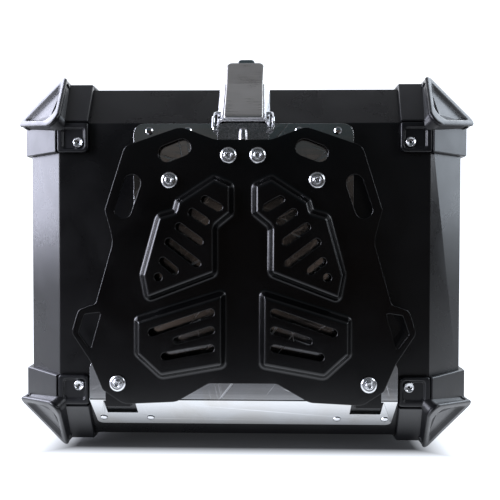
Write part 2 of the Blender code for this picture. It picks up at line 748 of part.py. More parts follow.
def strip(name, stations, thickness, half):
    """A bent sheet strip: stations (s, n) in metres on its outer face, given thickness inwards."""
    low = []
    high = []
    for index, (s, n) in enumerate(stations):
        before = Vector(stations[max(index - 1, 0)])
        after = Vector(stations[min(index + 1, len(stations) - 1)])
        along = (after - before).normalized()
        inward = Vector((along.y, -along.x)) * thickness
        high.append((s, n))
        low.append((s + inward.x, n + inward.y))
    outline = high + list(reversed(low))
    return loft(name, [[(-half, s, n) for s, n in outline], [(half, s, n) for s, n in outline]])


def flat_box(name, x0, x1, s0, s1, n0, n1):
    return box(name, (x0, s0, n0), (x1, s1, n1))


def across(radius, length, s, n, frame, segments=16):
    """A cylinder along X at a place in a latch's frame, as a cutter."""
    spot = frame @ Matrix.Translation((0, s, n)) @ Matrix.Rotation(math.radians(90), 4, "Y")
    return cutter(cylinder("across", radius, length, segments), spot)


def make_latch_base(name, frame, length, foot):
    """Mounting channel: a back plate on the case and two flared walls beside the lever."""
    floor = -PIVOT_LIFT + GAP
    back = add(name, flat_box(name, -WALL_LOW + MM, WALL_LOW - MM, -0.5 * MM, length, floor,
                              floor + LEVER_T), "stainless", frame)
    for side in (-1, 1):
        rings = []
        for s, low, high in ((length, WALL_LOW, WALL_HIGH), (6 * MM, WALL_LOW, WALL_HIGH),
                             (foot, WALL_LOW + 1.8 * MM, WALL_HIGH + 4.5 * MM)):
            rings.append([(side * (low - LEVER_T), s, floor), (side * low, s, floor),
                          (side * high, s, WALL_EDGE), (side * (high - LEVER_T * 0.8), s, WALL_EDGE)])
        boolean(back, cutter(loft("flared_wall", rings), frame), "UNION")
        notch = [(4.8, -2.4), (9.4, -2.4), (9.4, 3), (6.6, 9), (0.4, 9), (0.4, 4.6), (4.8, 1.8)]
        cut = loft("notch", [[(side * x, s * MM, n * MM) for s, n in notch]
                             for x in (WALL_HIGH - 3 * MM, WALL_LOW + 4 * MM)])
        boolean(back, cutter(cut, frame))
        ear = cylinder("ear", 2.9 * MM, 2 * MM)
        turn = Matrix.Rotation(math.radians(90), 4, "Y")
        spot = Matrix.Translation((side * 10 * MM, 0, 0))
        boolean(back, cutter(ear, frame @ spot @ turn), "UNION")
        web = flat_box("ear_web", side * 10 * MM - MM, side * 10 * MM + MM, -0.5 * MM, 3 * MM,
                       floor + MM, 0)
        boolean(back, cutter(web, frame), "UNION")
    boolean(back, across(LATCH_PIN + GAP, 60 * MM, 0, 0, frame))
    return back


def make_lever(name, frame, stations, flange_end):
    """Stamped lever: a bent face and two side flanges around the pivots."""
    lever = add(name, strip(name, stations, LEVER_T, LEVER_HALF), "stainless", frame)
    for side in (-1, 1):
        edge = side * LEVER_HALF
        low, high = sorted((edge, edge - side * LEVER_T))
        flange = flat_box("lever_flange", low, high, -1.2 * MM, flange_end, -2.3 * MM, LEVER_FACE - 0.5 * MM)
        boolean(lever, cutter(flange, frame), "UNION")
    boolean(lever, across(LATCH_PIN + GAP, 60 * MM, 0, 0, frame))
    boolean(lever, across(BAIL_RADIUS + GAP, 60 * MM, CRANK, 0, frame))
    return lever


def bend(x, s, n, back, ahead):
    """Three points around a corner of a wire, 3 mm along either leg."""
    here = Vector((x, s, n))
    to_back = (Vector(back) - here).normalized()
    to_ahead = (Vector(ahead) - here).normalized()
    middle = here + (to_back + to_ahead) * 0.8 * MM
    return [here + to_back * 3 * MM, middle, here + to_ahead * 3 * MM]


def make_bail(name, frame, ends):
    """Wire bail through the lever's flanges, bent at the given corners on each side.

    A bail that ends at x = 0 is one closed-off loop with a bar across, open inside the lever.
    """
    stub = (0 if ends[-1][0] else LEVER_HALF - LEVER_T - 1.2 * MM, CRANK, 0)
    corners = [stub, (BAIL_HALF, CRANK, 0)] + ends
    half_path = [Vector(stub)] if stub[0] else []
    for before, here, after in zip(corners, corners[1:], corners[2:]):
        half_path += bend(*here, before, after)
    if ends[-1][0]:
        half_path.append(Vector(ends[-1]))
        path = [Vector((-x, s, n)) for x, s, n in reversed(half_path)] + half_path
    else:
        path = half_path + [Vector((-x, s, n)) for x, s, n in reversed(half_path)]
    add(name, smooth(wire(name, path, BAIL_RADIUS)), "chrome", frame)


def make_pivot(name, frame):
    pin = cylinder(name, LATCH_PIN, 2 * (WALL_LOW + 0.8 * MM))
    add(name, smooth(pin), "chrome", frame @ Matrix.Rotation(math.radians(90), 4, "Y"))


def trim(obj, point, normal):
    """Cut away everything beyond a plane given in world coordinates."""
    big = box("trim", (-0.1, -0.1, 0), (0.1, 0.1, 0.2))
    turn = Vector(normal).to_track_quat("Z", "Y").to_matrix().to_4x4()
    boolean(obj, cutter(big, Matrix.Translation(point) @ turn))


def release_frame():
    """Origin on the release lever's pivot, over the lower edge of the front chamfer."""
    s = 1.5 * MM
    root = math.sqrt(0.5)
    y = -(HALF_Y - CHAMFER) - root * (s + PIVOT_LIFT)
    z = CASE_Z0 + root * (s - PIVOT_LIFT)
    return Matrix.Translation((0, y, z)) @ Matrix.Rotation(math.radians(135), 4, "X")


def lid_latch_frame():
    """Origin on the lid latch lever's pivot, high on the front wall, the lever hanging down."""
    turned_over = Matrix(((-1, 0, 0, 0), (0, 0, -1, 0), (0, -1, 0, 0), (0, 0, 0, 1)))
    return Matrix.Translation((0, -HALF_Y - PIVOT_LIFT, LID_PIVOT_Z)) @ turned_over


def make_release_latch():
    frame = release_frame()
    base = make_latch_base("release_latch_base", frame, 50 * MM, -12 * MM)
    trim(base, (0, ADAPTER_FRONT - 0.5 * MM, 0), (0, 1, 0))
    stations = [(LEVER_TOE, LEVER_FACE), (RELEASE_BODY, LEVER_FACE),
                (RELEASE_LENGTH, LEVER_FACE + 1.5 * MM)]
    make_lever("release_latch_lever", frame, stations, RELEASE_BODY - 6 * MM)
    make_bail("release_latch_bail", frame, RELEASE_HOOKS)
    make_pivot("release_latch_pivot", frame)


def make_lid_latch():
    frame = lid_latch_frame()
    make_latch_base("lid_latch_base", frame, 62 * MM, -4 * MM)
    stations = [(-3.5 * MM, LEVER_FACE), (LID_LEVER_LENGTH - 7 * MM, LEVER_FACE),
                (LID_LEVER_LENGTH, LEVER_FACE + 2 * MM)]
    lever = make_lever("lid_latch_lever", frame, stations, LID_LEVER_LENGTH - 20 * MM)
    axis = frame @ Matrix.Translation((0, LOCK_S, 0))
    hole = cylinder("lock_hole", LOCK_RADIUS + GAP, 30 * MM)
    boolean(lever, cutter(hole, axis))
    make_bail("lid_latch_bail", frame, [(BAIL_HALF, -LID_HOOK, BAIL_OUT), (0, -LID_HOOK, BAIL_OUT)])
    make_pivot("lid_latch_pivot", frame)
    make_lock(axis)
    make_lid_keeper()


def make_lock(axis):
    barrel = turned("lock_barrel", [(0, 9), (7.6, 9), (8.4, 8.2), (8.4, 5.4), (6.4, 5.4), (6.4, -2),
                                    (0, -2)], steps=24)
    lock = add("lock_barrel", barrel, "chrome", axis)
    slot = flat_box("key_slot", -3.9 * MM, 3.9 * MM, -1.5 * MM, 1.5 * MM, 0, 12 * MM)
    boolean(lock, cutter(slot, axis))
    outline = [(-3.5, 0.5), (3.5, 0.5), (3.5, 12), (7.8, 15), (8.8, 18), (8.8, 33), (7.4, 36.2), (5, 37),
               (-5, 37), (-7.4, 36.2), (-8.8, 33), (-8.8, 18), (-7.8, 15), (-3.5, 12)]
    rings = [[(x * MM, s * MM, n * MM) for x, n in outline] for s in (-1.1, 1.1)]
    add("key", loft("key", rings), "chrome", axis)


def make_lid_keeper():
    """A nose on the lid's front wall that the lid latch's bail bears on."""
    wall = -HALF_Y - GAP
    plate = add("lid_latch_keeper", box("keeper_plate", (-20 * MM, wall - 2 * MM, 233 * MM),
                                        (20 * MM, wall, 256 * MM)), "stainless")
    nose = loft("keeper_nose", [
        [(x * MM, wall - MM, 237 * MM), (x * MM, -168.4 * MM, 243 * MM), (x * MM, -168.4 * MM, 247 * MM),
         (x * MM, wall - MM, 249 * MM)] for x in (-17, 17)])
    boolean(plate, cutter(nose), "UNION")


make_release_latch()
make_lid_latch()
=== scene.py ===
"""The looks of a motorcycle top case that lies on its rear wall, seen square on to its underside.

Metres, +Z up, as in the frame: X across, -Y towards the latches, +Y towards the hinges. Sizes along
X and Y that are written here count from the middle of the case, CASE, in millimetres.
"""

import json
import math

import bmesh
import bpy
from mathutils import Matrix, Vector
from mathutils.geometry import delaunay_2d_cdt

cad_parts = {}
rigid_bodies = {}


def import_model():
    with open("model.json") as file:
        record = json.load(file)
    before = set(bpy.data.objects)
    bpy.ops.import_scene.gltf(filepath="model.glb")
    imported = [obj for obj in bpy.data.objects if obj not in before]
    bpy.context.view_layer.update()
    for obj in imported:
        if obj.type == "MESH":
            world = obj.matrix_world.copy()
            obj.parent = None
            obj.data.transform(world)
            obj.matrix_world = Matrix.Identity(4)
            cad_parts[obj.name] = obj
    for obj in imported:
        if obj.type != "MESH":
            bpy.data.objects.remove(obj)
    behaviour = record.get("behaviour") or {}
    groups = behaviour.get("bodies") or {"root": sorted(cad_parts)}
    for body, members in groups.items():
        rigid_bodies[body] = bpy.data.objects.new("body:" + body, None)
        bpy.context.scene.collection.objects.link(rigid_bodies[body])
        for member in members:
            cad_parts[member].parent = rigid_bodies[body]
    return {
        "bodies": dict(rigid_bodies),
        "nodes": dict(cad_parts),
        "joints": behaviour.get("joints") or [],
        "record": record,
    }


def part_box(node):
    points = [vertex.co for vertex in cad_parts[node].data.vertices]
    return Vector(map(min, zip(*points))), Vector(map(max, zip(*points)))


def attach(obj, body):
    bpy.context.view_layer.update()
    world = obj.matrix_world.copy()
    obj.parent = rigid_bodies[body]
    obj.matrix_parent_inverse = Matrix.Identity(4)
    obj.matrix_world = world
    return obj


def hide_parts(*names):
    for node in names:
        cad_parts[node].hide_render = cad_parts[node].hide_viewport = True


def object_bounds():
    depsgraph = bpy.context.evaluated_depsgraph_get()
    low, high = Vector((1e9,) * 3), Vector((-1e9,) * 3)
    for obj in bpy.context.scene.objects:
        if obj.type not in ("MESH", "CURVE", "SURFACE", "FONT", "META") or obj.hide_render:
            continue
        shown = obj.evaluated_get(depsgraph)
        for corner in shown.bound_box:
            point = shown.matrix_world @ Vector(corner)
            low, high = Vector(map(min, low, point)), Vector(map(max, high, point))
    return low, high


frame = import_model()
cad_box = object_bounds()

MM = 0.001
NODES = frame["nodes"]
body_low, body_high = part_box("body_shell")
lid_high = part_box("lid_shell")[1]
CASE = Vector(((body_low.x + body_high.x) / 2, (body_low.y + body_high.y) / 2, 0))
HALF_X = (body_high.x - body_low.x) / 2
HALF_Y = (body_high.y - body_low.y) / 2
CASE_Z0 = body_low.z
CASE_Z1 = lid_high.z
CHAMFER = 38 * MM
GAP = 0.3 * MM
IN_CASE = Matrix.Translation(CASE)


# ---------------------------------------------------------------- camera

FOCAL = 43.2                        # mm on a 36 mm sensor
EYE = Vector((16.9, -23.6, -500.5)) * MM + CASE
TURNS = (1.197, 1.221, 0.133)       # degrees about X, Y and Z, off a square-on view of the underside


def make_camera():
    data = bpy.data.cameras.new("camera")
    data.lens = FOCAL
    data.sensor_width = 36
    data.clip_start = 0.02
    data.clip_end = 20
    camera = bpy.data.objects.new("camera", data)
    bpy.context.scene.collection.objects.link(camera)
    about_x, about_y, about_z = (math.radians(turn) for turn in TURNS)
    turned = (Matrix.Rotation(about_z, 3, "Z") @ Matrix.Rotation(about_y, 3, "Y")
              @ Matrix.Rotation(about_x, 3, "X"))
    facing_up = Matrix.Diagonal((1, -1, -1))
    camera.matrix_world = Matrix.Translation(EYE) @ (turned.transposed() @ facing_up).to_4x4()
    bpy.context.scene.camera = camera


make_camera()


# ---------------------------------------------------------------- stage and lights

FLOOR_Y = cad_box[1].y + 0.4 * MM
COVE_Z = 1.6                        # where the floor starts to rise behind the case
COVE_RADIUS = 0.5
STAGE_HALF = 4.0
FLOOR_GLOW = 0.9                    # emission of the floor where the case leaves it open
PAINTED_SHADOW_GLOW = 0.012                  # and under the case: a painted shadow
WIDENING = 0.42                     # the floor's dim outer edge moves out this much per metre behind the case


def one_sided(mat, shader):
    """Leave a stage surface open from behind, so that it hides nothing from the other side."""
    nodes, links = mat.node_tree.nodes, mat.node_tree.links
    side = nodes.new("ShaderNodeNewGeometry")
    clear = nodes.new("ShaderNodeBsdfTransparent")
    mix = nodes.new("ShaderNodeMixShader")
    links.new(side.outputs["Backfacing"], mix.inputs["Fac"])
    links.new(shader.outputs[0], mix.inputs[1])
    links.new(clear.outputs[0], mix.inputs[2])
    links.new(mix.outputs[0], nodes["Material Output"].inputs["Surface"])


def make_floor():
    """A pale sweep under the case's rear wall, curving up into a backdrop. Its emission is painted low under
    the case as a painted shadow. It is weaker towards the lens and dimmer at the far sides, as painted light
    in what the case reflects.
    """
    profile = [(FLOOR_Y, -0.55), (FLOOR_Y, COVE_Z)]
    for step in range(1, 13):
        angle = math.radians(90 * step / 12)
        profile.append((FLOOR_Y - COVE_RADIUS * (1 - math.cos(angle)),
                        COVE_Z + COVE_RADIUS * math.sin(angle)))
    profile.append((FLOOR_Y - 5, COVE_Z + COVE_RADIUS))
    bm = bmesh.new()
    rows = [[bm.verts.new((x, y, z)) for x in (-STAGE_HALF, STAGE_HALF)] for y, z in profile]
    for near, far in zip(rows, rows[1:]):
        bm.faces.new((near[0], near[1], far[1], far[0]))
    mesh = bpy.data.meshes.new("floor")
    bm.to_mesh(mesh)
    bm.free()
    mesh.shade_smooth()
    floor = bpy.data.objects.new("floor", mesh)
    bpy.context.scene.collection.objects.link(floor)
    mat = bpy.data.materials.new("floor")
    mat.use_nodes = True
    shader = mat.node_tree.nodes["Principled BSDF"]
    shader.inputs["Base Color"].default_value = (0.10, 0.10, 0.10, 1)
    shader.inputs["Roughness"].default_value = 0.8
    shader.inputs["Specular IOR Level"].default_value = 0.1
    shader.inputs["Emission Color"].default_value = (0.89, 0.93, 1.0, 1)
    nodes = mat.node_tree.nodes
    x, _, z = axes(mat)
    aside = nodes.new("ShaderNodeMath")
    aside.operation = "ABSOLUTE"
    link(mat, x, aside.inputs[0])
    x_reach = CASE.x + HALF_X
    # Painted shadow: emission falls to its low level in front of, beside and behind the case's footprint.
    in_front = remap(mat, z, FLOOR_GLOW, PAINTED_SHADOW_GLOW, CASE_Z0 + 8 * MM, CASE_Z0 + 33 * MM)
    beside = remap(mat, aside.outputs[0], PAINTED_SHADOW_GLOW, FLOOR_GLOW, x_reach - 42 * MM, x_reach - 2 * MM)
    behind = remap(mat, z, PAINTED_SHADOW_GLOW, FLOOR_GLOW, CASE_Z1 - 10 * MM, CASE_Z1 + 60 * MM)
    glow = combine(mat, combine(mat, in_front, beside), behind)
    # Painted light: emission is weaker towards the lens, half as strong again next to the case and dimmer at
    # the far sides, to set what the plate and flange reflect.
    near_lens = remap(mat, z, 0.05, 1.5, -0.235, -0.03)
    depth = nodes.new("ShaderNodeMath")
    depth.operation = "MULTIPLY"
    depth.inputs[1].default_value = WIDENING
    link(mat, z, depth.inputs[0])
    wide = remap(mat, combine(mat, aside.outputs[0], depth.outputs[0], "SUBTRACT"), 1.0, 0.4, 0.26, 0.38)
    lit = combine(mat, combine(mat, glow, near_lens, "MULTIPLY"), wide, "MULTIPLY")
    link(mat, lit, shader.inputs["Emission Strength"])
    one_sided(mat, shader)
    mesh.materials.append(mat)
    if mesh.polygons[0].normal.y > 0:
        mesh.flip_normals()


def softbox(name, place, target, size, radiance, colour):
    """A rectangular light whose surface has the given radiance."""
    data = bpy.data.lights.new(name, "AREA")
    data.shape = "RECTANGLE"
    data.size, data.size_y = size
    data.energy = radiance * math.pi * size[0] * size[1]
    data.color = colour
    light = bpy.data.objects.new(name, data)
    light.location = place
    toward = Vector(target) - Vector(place)
    light.rotation_euler = toward.to_track_quat("-Z", "Y").to_euler()
    light.visible_camera = False
    bpy.context.scene.collection.objects.link(light)


def make_world():
    """White to the camera. Reflections find a dark, blotchy room below, grey sides and a white top."""
    world = bpy.data.worlds.new("studio")
    bpy.context.scene.world = world
    world.use_nodes = True
    nodes, links = world.node_tree.nodes, world.node_tree.links
    nodes.clear()
    out = nodes.new("ShaderNodeOutputWorld")
    direction = nodes.new("ShaderNodeTexCoord")
    _, y, z = axes(world, "Generated")
    height = remap(world, z, 0, 1, -0.85, 0.30)
    front = remap(world, y, 1, 0, -0.95, -0.55)
    texture = nodes.new("ShaderNodeTexNoise")
    texture.inputs["Scale"].default_value = 10
    texture.inputs["Detail"].default_value = 1.5
    links.new(direction.outputs["Generated"], texture.inputs["Vector"])
    spots = remap(world, texture.outputs["Fac"], 0, 1, 0.50, 0.56)
    room = blend_colour(world, spots, (0.004, 0.004, 0.004), (0.13, 0.10, 0.085))
    below = blend_colour(world, remap(world, y, 0, 1, -0.21, -0.10), (0.048, 0.066, 0.074), room)
    sides = blend_colour(world, height, below, (0.33, 0.34, 0.37))
    above = blend_colour(world, remap(world, z, 0, 1, 0.50, 0.80), sides, (1.0, 1.0, 1.0))
    whole = blend_colour(world, front, above, (0.15, 0.15, 0.16))
    air = nodes.new("ShaderNodeBackground")
    links.new(whole, air.inputs["Color"])
    seen = nodes.new("ShaderNodeBackground")
    seen.inputs["Color"].default_value = (1, 1, 1, 1)
    ray = nodes.new("ShaderNodeLightPath")
    choose = nodes.new("ShaderNodeMixShader")
    links.new(ray.outputs["Is Camera Ray"], choose.inputs["Fac"])
    links.new(air.outputs[0], choose.inputs[1])
    links.new(seen.outputs[0], choose.inputs[2])
    links.new(choose.outputs[0], out.inputs["Surface"])


def make_lights():
    corner = (-0.1, -0.05, 0.05)
    softbox("key", (-1.14, -0.52, 0.55), corner, (1.15, 1.1), 6.0, (0.81, 0.83, 1.0))
    softbox("fill", (1.08, -0.52, 0.62), (0.1, -0.05, 0.05), (1.15, 1.0), 3.0, (0.80, 0.89, 1.0))
    softbox("key_side", (-1.02, -0.30, -0.38), (0, -0.05, 0), (0.80, 0.55), 14.0, (0.84, 0.86, 1.0))
    softbox("fill_side", (0.93, -0.50, -0.42), (0, -0.05, 0), (0.45, 0.40), 5.0, (0.88, 0.92, 1.0))
    softbox("top", (0, -0.95, 1.5), (0, -0.1, 0.05), (2.6, 0.7), 1.7, (1.0, 0.99, 0.98))
    scene = bpy.context.scene
    scene.view_settings.view_transform = "Standard"
    scene.view_settings.look = "None"


# ---------------------------------------------------------------- materials

FLANGE_REACH = 29 * MM              # the adapter plate's bend, back from its flange's end


def start_material(name, colour, roughness, metallic=0.0):
    mat = bpy.data.materials.new(name)
    mat.use_nodes = True
    shader = mat.node_tree.nodes["Principled BSDF"]
    shader.inputs["Base Color"].default_value = (*colour, 1)
    shader.inputs["Roughness"].default_value = roughness
    shader.inputs["Metallic"].default_value = metallic
    return mat, shader


def noise(mat, scale, detail=3.0, stretch=(1, 1, 1), turn=(0, 0, 0), distortion=0.0):
    """A noise texture in the object's own coordinates, turned and then stretched."""
    nodes, links = mat.node_tree.nodes, mat.node_tree.links
    place = nodes.new("ShaderNodeTexCoord")
    turning = nodes.new("ShaderNodeMapping")
    turning.inputs["Rotation"].default_value = [math.radians(angle) for angle in turn]
    links.new(place.outputs["Object"], turning.inputs["Vector"])
    mapping = nodes.new("ShaderNodeMapping")
    mapping.inputs["Scale"].default_value = stretch
    links.new(turning.outputs[0], mapping.inputs["Vector"])
    texture = nodes.new("ShaderNodeTexNoise")
    texture.inputs["Scale"].default_value = scale
    texture.inputs["Detail"].default_value = detail
    texture.inputs["Distortion"].default_value = distortion
    links.new(mapping.outputs[0], texture.inputs["Vector"])
    return texture.outputs["Fac"]


def remap(mat, value, low, high, start=0.3, end=0.7):
    """A value between start and end brought to between low and high."""
    node = mat.node_tree.nodes.new("ShaderNodeMapRange")
    node.inputs["From Min"].default_value = start
    node.inputs["From Max"].default_value = end
    node.inputs["To Min"].default_value = low
    node.inputs["To Max"].default_value = high
    mat.node_tree.links.new(value, node.inputs["Value"])
    return node.outputs["Result"]


def combine(mat, first, second, operation="MAXIMUM"):
    """Two values through one Math node."""
    node = mat.node_tree.nodes.new("ShaderNodeMath")
    node.operation = operation
    mat.node_tree.links.new(first, node.inputs[0])
    mat.node_tree.links.new(second, node.inputs[1])
    return node.outputs[0]


def axes(mat, coordinate="Object"):
    """X, Y and Z of a texture coordinate."""
    place = mat.node_tree.nodes.new("ShaderNodeTexCoord")
    split = mat.node_tree.nodes.new("ShaderNodeSeparateXYZ")
    link(mat, place.outputs[coordinate], split.inputs[0])
    return split.outputs["X"], split.outputs["Y"], split.outputs["Z"]


def blend_colour(mat, fac, first, second):
    """A mix of two colours, each a triple or another node's output."""
    node = mat.node_tree.nodes.new("ShaderNodeMix")
    node.data_type = "RGBA"
    mat.node_tree.links.new(fac, node.inputs["Factor"])
    for socket, colour in (("A", first), ("B", second)):
        if isinstance(colour, tuple):
            node.inputs[socket].default_value = (*colour, 1)
        else:
            mat.node_tree.links.new(colour, node.inputs[socket])
    return node.outputs["Result"]


def bump(mat, shader, height, distance, strength=1.0, below=None):
    """Bump from a height in 0 to 1, on top of another bump where one is given."""
    node = mat.node_tree.nodes.new("ShaderNodeBump")
    node.inputs["Strength"].default_value = strength
    node.inputs["Distance"].default_value = distance
    mat.node_tree.links.new(height, node.inputs["Height"])
    if below is not None:
        mat.node_tree.links.new(below, node.inputs["Normal"])
    mat.node_tree.links.new(node.outputs["Normal"], shader.inputs["Normal"])
    return node.outputs["Normal"]


def link(mat, value, socket):
    mat.node_tree.links.new(value, socket)


def scaled(colour, factor):
    return tuple(channel * factor for channel in colour)


def powder_coat(name, colour, roughness, grain, depth):
    """Sprayed coat: orange-peel grain, slow changes of gloss, specks of dust."""
    mat, shader = start_material(name, colour, roughness)
    cloud = noise(mat, 9, 4)
    link(mat, blend_colour(mat, remap(mat, cloud, 0, 1), scaled(colour, 0.82), scaled(colour, 1.2)),
         shader.inputs["Base Color"])
    sheen = noise(mat, 23, 5, distortion=0.6)
    link(mat, remap(mat, sheen, roughness - 0.05, roughness + 0.06), shader.inputs["Roughness"])
    peel = bump(mat, shader, noise(mat, grain, 2), depth, 0.5)
    bump(mat, shader, remap(mat, noise(mat, grain * 3.1, 2), 0, 1, 0.45, 0.62), depth * 0.5, 0.35, peel)
    return mat


def moulded_plastic(name, colour):
    """Spark-eroded black plastic with slightly polished high spots."""
    mat, shader = start_material(name, colour, 0.5)
    cloud = noise(mat, 14, 4)
    link(mat, blend_colour(mat, remap(mat, cloud, 0, 1), scaled(colour, 0.85), scaled(colour, 1.15)),
         shader.inputs["Base Color"])
    link(mat, remap(mat, noise(mat, 60, 4), 0.31, 0.39), shader.inputs["Roughness"])
    grain = bump(mat, shader, noise(mat, 1400, 3), 0.00004, 0.25)
    bump(mat, shader, noise(mat, 420, 2), 0.00005, 0.15, grain)
    return mat


def scratches(mat, scale, turn):
    """Thin straight scratches in one direction, 0 off them and up to 1 on them."""
    line = noise(mat, scale, 2, stretch=(1, 0.012, 0.05), turn=(0, 0, turn))
    band = remap(mat, line, 0, 1, 0.63, 0.70)
    broken = remap(mat, noise(mat, 38, 2, turn=(0, 0, turn + 31)), 0, 1, 0.46, 0.56)
    return combine(mat, band, broken, "MULTIPLY")


def rolled_aluminium(name, colour):
    """Bare sheet: fine rolling lines, scratches in several directions off the flange, dull stains."""
    mat, shader = start_material(name, colour, 0.35, 1.0)
    rolled = noise(mat, 260, 3, stretch=(0.03, 1, 1))
    marks = scratches(mat, 330, 12)
    for turn, scale in ((-38, 280), (71, 360), (118, 240)):
        marks = combine(mat, marks, scratches(mat, scale, turn))
    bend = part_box("adapter_plate")[1].y - FLANGE_REACH
    off_flange = remap(mat, axes(mat)[1], 1, 0.12, bend - 3 * MM, bend)
    marks = combine(mat, marks, off_flange, "MULTIPLY")
    stain = remap(mat, noise(mat, 16, 5, distortion=1.2), 0, 1, 0.42, 0.6)
    plain = blend_colour(mat, stain, colour, (colour[0] * 0.94, colour[1] * 0.92, colour[2] * 0.89))
    link(mat, blend_colour(mat, marks, plain, (0.85, 0.86, 0.88)), shader.inputs["Base Color"])
    rough = remap(mat, rolled, 0.10, 0.16)
    link(mat, combine(mat, rough, remap(mat, marks, 0, 0.16, 0, 1), "ADD"), shader.inputs["Roughness"])
    first = bump(mat, shader, rolled, 0.00004, 0.5)
    bump(mat, shader, marks, -0.00006, 0.6, first)
    return mat


def brushed_steel(name, colour, roughness):
    """Stainless sheet with a linear brushed grain."""
    mat, shader = start_material(name, colour, roughness, 1.0)
    grain = noise(mat, 2300, 3, stretch=(0.02, 1, 1))
    link(mat, blend_colour(mat, remap(mat, grain, 0, 1), scaled(colour, 0.93), scaled(colour, 1.05)),
         shader.inputs["Base Color"])
    smudge = remap(mat, noise(mat, 55, 4), -0.02, 0.04)
    link(mat, combine(mat, remap(mat, grain, roughness - 0.04, roughness + 0.05), smudge, "ADD"),
         shader.inputs["Roughness"])
    bump(mat, shader, grain, 0.00001, 0.35)
    return mat


def plated(name, colour, roughness):
    """Bright plating with faint swirls and cloudy patches."""
    mat, shader = start_material(name, colour, roughness, 1.0)
    cloud = remap(mat, noise(mat, 240, 5), 0, 1)
    link(mat, blend_colour(mat, cloud, scaled(colour, 0.88), colour), shader.inputs["Base Color"])
    link(mat, remap(mat, noise(mat, 700, 4, distortion=1.0), roughness * 0.7, roughness * 1.7),
         shader.inputs["Roughness"])
    bump(mat, shader, noise(mat, 900, 3), 0.00002, 0.4)
    return mat


def rubber(name, colour):
    mat, shader = start_material(name, colour, 0.75)
    link(mat, remap(mat, noise(mat, 90, 4), 0.66, 0.84), shader.inputs["Roughness"])
    link(mat, blend_colour(mat, noise(mat, 120, 4), scaled(colour, 0.8), scaled(colour, 1.4)),
         shader.inputs["Base Color"])
    bump(mat, shader, noise(mat, 1800, 3), 0.00008, 0.5)
    return mat


def foam(name, colour):
    """Closed-cell foam mat with a pebbled surface, painted darker in the grooves between cells and lighter on
    their tops as painted shade.
    """
    mat, shader = start_material(name, colour, 0.9)
    cells = mat.node_tree.nodes.new("ShaderNodeTexVoronoi")
    cells.inputs["Scale"].default_value = 420
    place = mat.node_tree.nodes.new("ShaderNodeTexCoord")
    link(mat, place.outputs["Object"], cells.inputs["Vector"])
    # Painted shade: colour follows the bump, darker where the cells sink and lighter on their tops.
    link(mat, blend_colour(mat, cells.outputs["Distance"], scaled(colour, 1.5), scaled(colour, 0.7)),
         shader.inputs["Base Color"])
    link(mat, remap(mat, noise(mat, 40, 3), 0.82, 0.96), shader.inputs["Roughness"])
    bump(mat, shader, cells.outputs["Distance"], -0.0004, 0.7)
    return mat


make_floor()
make_world()
make_lights()

MATERIALS = {
    "body_coat": powder_coat("body_coat", (0.0022, 0.0022, 0.0027), 0.29, 1500, 0.00004),
    "plate_coat": powder_coat("plate_coat", (0.0012, 0.0012, 0.0014), 0.21, 1900, 0.00002),
    "guard_plastic": moulded_plastic("guard_plastic", (0.0034, 0.0036, 0.0048)),
    "aluminium": rolled_aluminium("aluminium", (0.70, 0.71, 0.72)),
    "brushed": brushed_steel("brushed", (0.56, 0.55, 0.53), 0.30),
    "polished": plated("polished", (0.58, 0.57, 0.56), 0.16),
    "dark_steel": plated("dark_steel", (0.52, 0.51, 0.52), 0.22),
    "chrome": plated("chrome", (0.74, 0.75, 0.77), 0.10),
    "zinc": plated("zinc", (0.82, 0.83, 0.85), 0.19),
    "satin": plated("satin", (0.88, 0.88, 0.90), 0.38),
    "rubber": rubber("rubber", (0.012, 0.012, 0.012)),
    "foam": foam("foam", (0.03, 0.03, 0.033)),
}


# ---------------------------------------------------------------- outlines and solids

def rounded(corners, steps=6):
    """A closed outline in metres from corners (x, y, radius) in millimetres."""
    points = []
    count = len(corners)
    for index, (x, y, radius) in enumerate(corners):
        here = Vector((x, y)) * MM
        if radius == 0:
            points.append(here)
            continue
        back = (Vector(corners[index - 1][:2]) * MM - here).normalized()
        ahead = (Vector(corners[(index + 1) % count][:2]) * MM - here).normalized()
        half = back.angle(ahead) / 2
        centre = here + (back + ahead).normalized() * (radius * MM / math.sin(half))
        start = here + back * (radius * MM / math.tan(half)) - centre
        turn = math.pi - 2 * half
        if back.cross(ahead) > 0:
            turn = -turn
        points += [centre + Matrix.Rotation(turn * step / steps, 2) @ start for step in range(steps + 1)]
    return points


def inset(corners, distance):
    """Corners moved inwards by a distance in millimetres, on an anticlockwise outline."""
    moved = []
    count = len(corners)
    for index, (x, y, radius) in enumerate(corners):
        here = Vector((x, y))
        back = (here - Vector(corners[index - 1][:2])).normalized()
        ahead = (Vector(corners[(index + 1) % count][:2]) - here).normalized()
        normal_a = Vector((-back.y, back.x))
        normal_b = Vector((-ahead.y, ahead.x))
        step = (normal_a + normal_b) * (distance / (1 + normal_a.dot(normal_b)))
        fresh = radius + 0.4 * distance
        if back.cross(ahead) > 0:
            fresh = max(radius - distance, 1.0)
        moved.append((x + step.x, y + step.y, fresh if radius else 0))
    return moved


def mirrored(corners):
    return [(-x, y, radius) for x, y, radius in reversed(corners)]


def stadium(x, y, half, radius, degrees, steps=9):
    """A slot outline with round ends, in metres from millimetres."""
    along = Vector((math.cos(math.radians(degrees)), math.sin(math.radians(degrees))))
    across = Vector((-along.y, along.x))
    points = []
    for end in (1, -1):
        for step in range(steps + 1):
            angle = math.pi * (step / steps - 0.5)
            offset = (along * math.cos(angle) + across * math.sin(angle)) * (radius * end)
            points.append((Vector((x, y)) + along * (half * end) + offset) * MM)
    return points


def ring(bm, outline, z):
    """An outline's vertices at a height, in the case's frame."""
    return [bm.verts.new((point[0], point[1], z)) for point in outline]


def bridge(bm, first, second):
    """A strip of faces between two rings of as many vertices."""
    count = len(first)
    for index in range(count):
        after = (index + 1) % count
        bm.faces.new((first[index], first[after], second[after], second[index]))


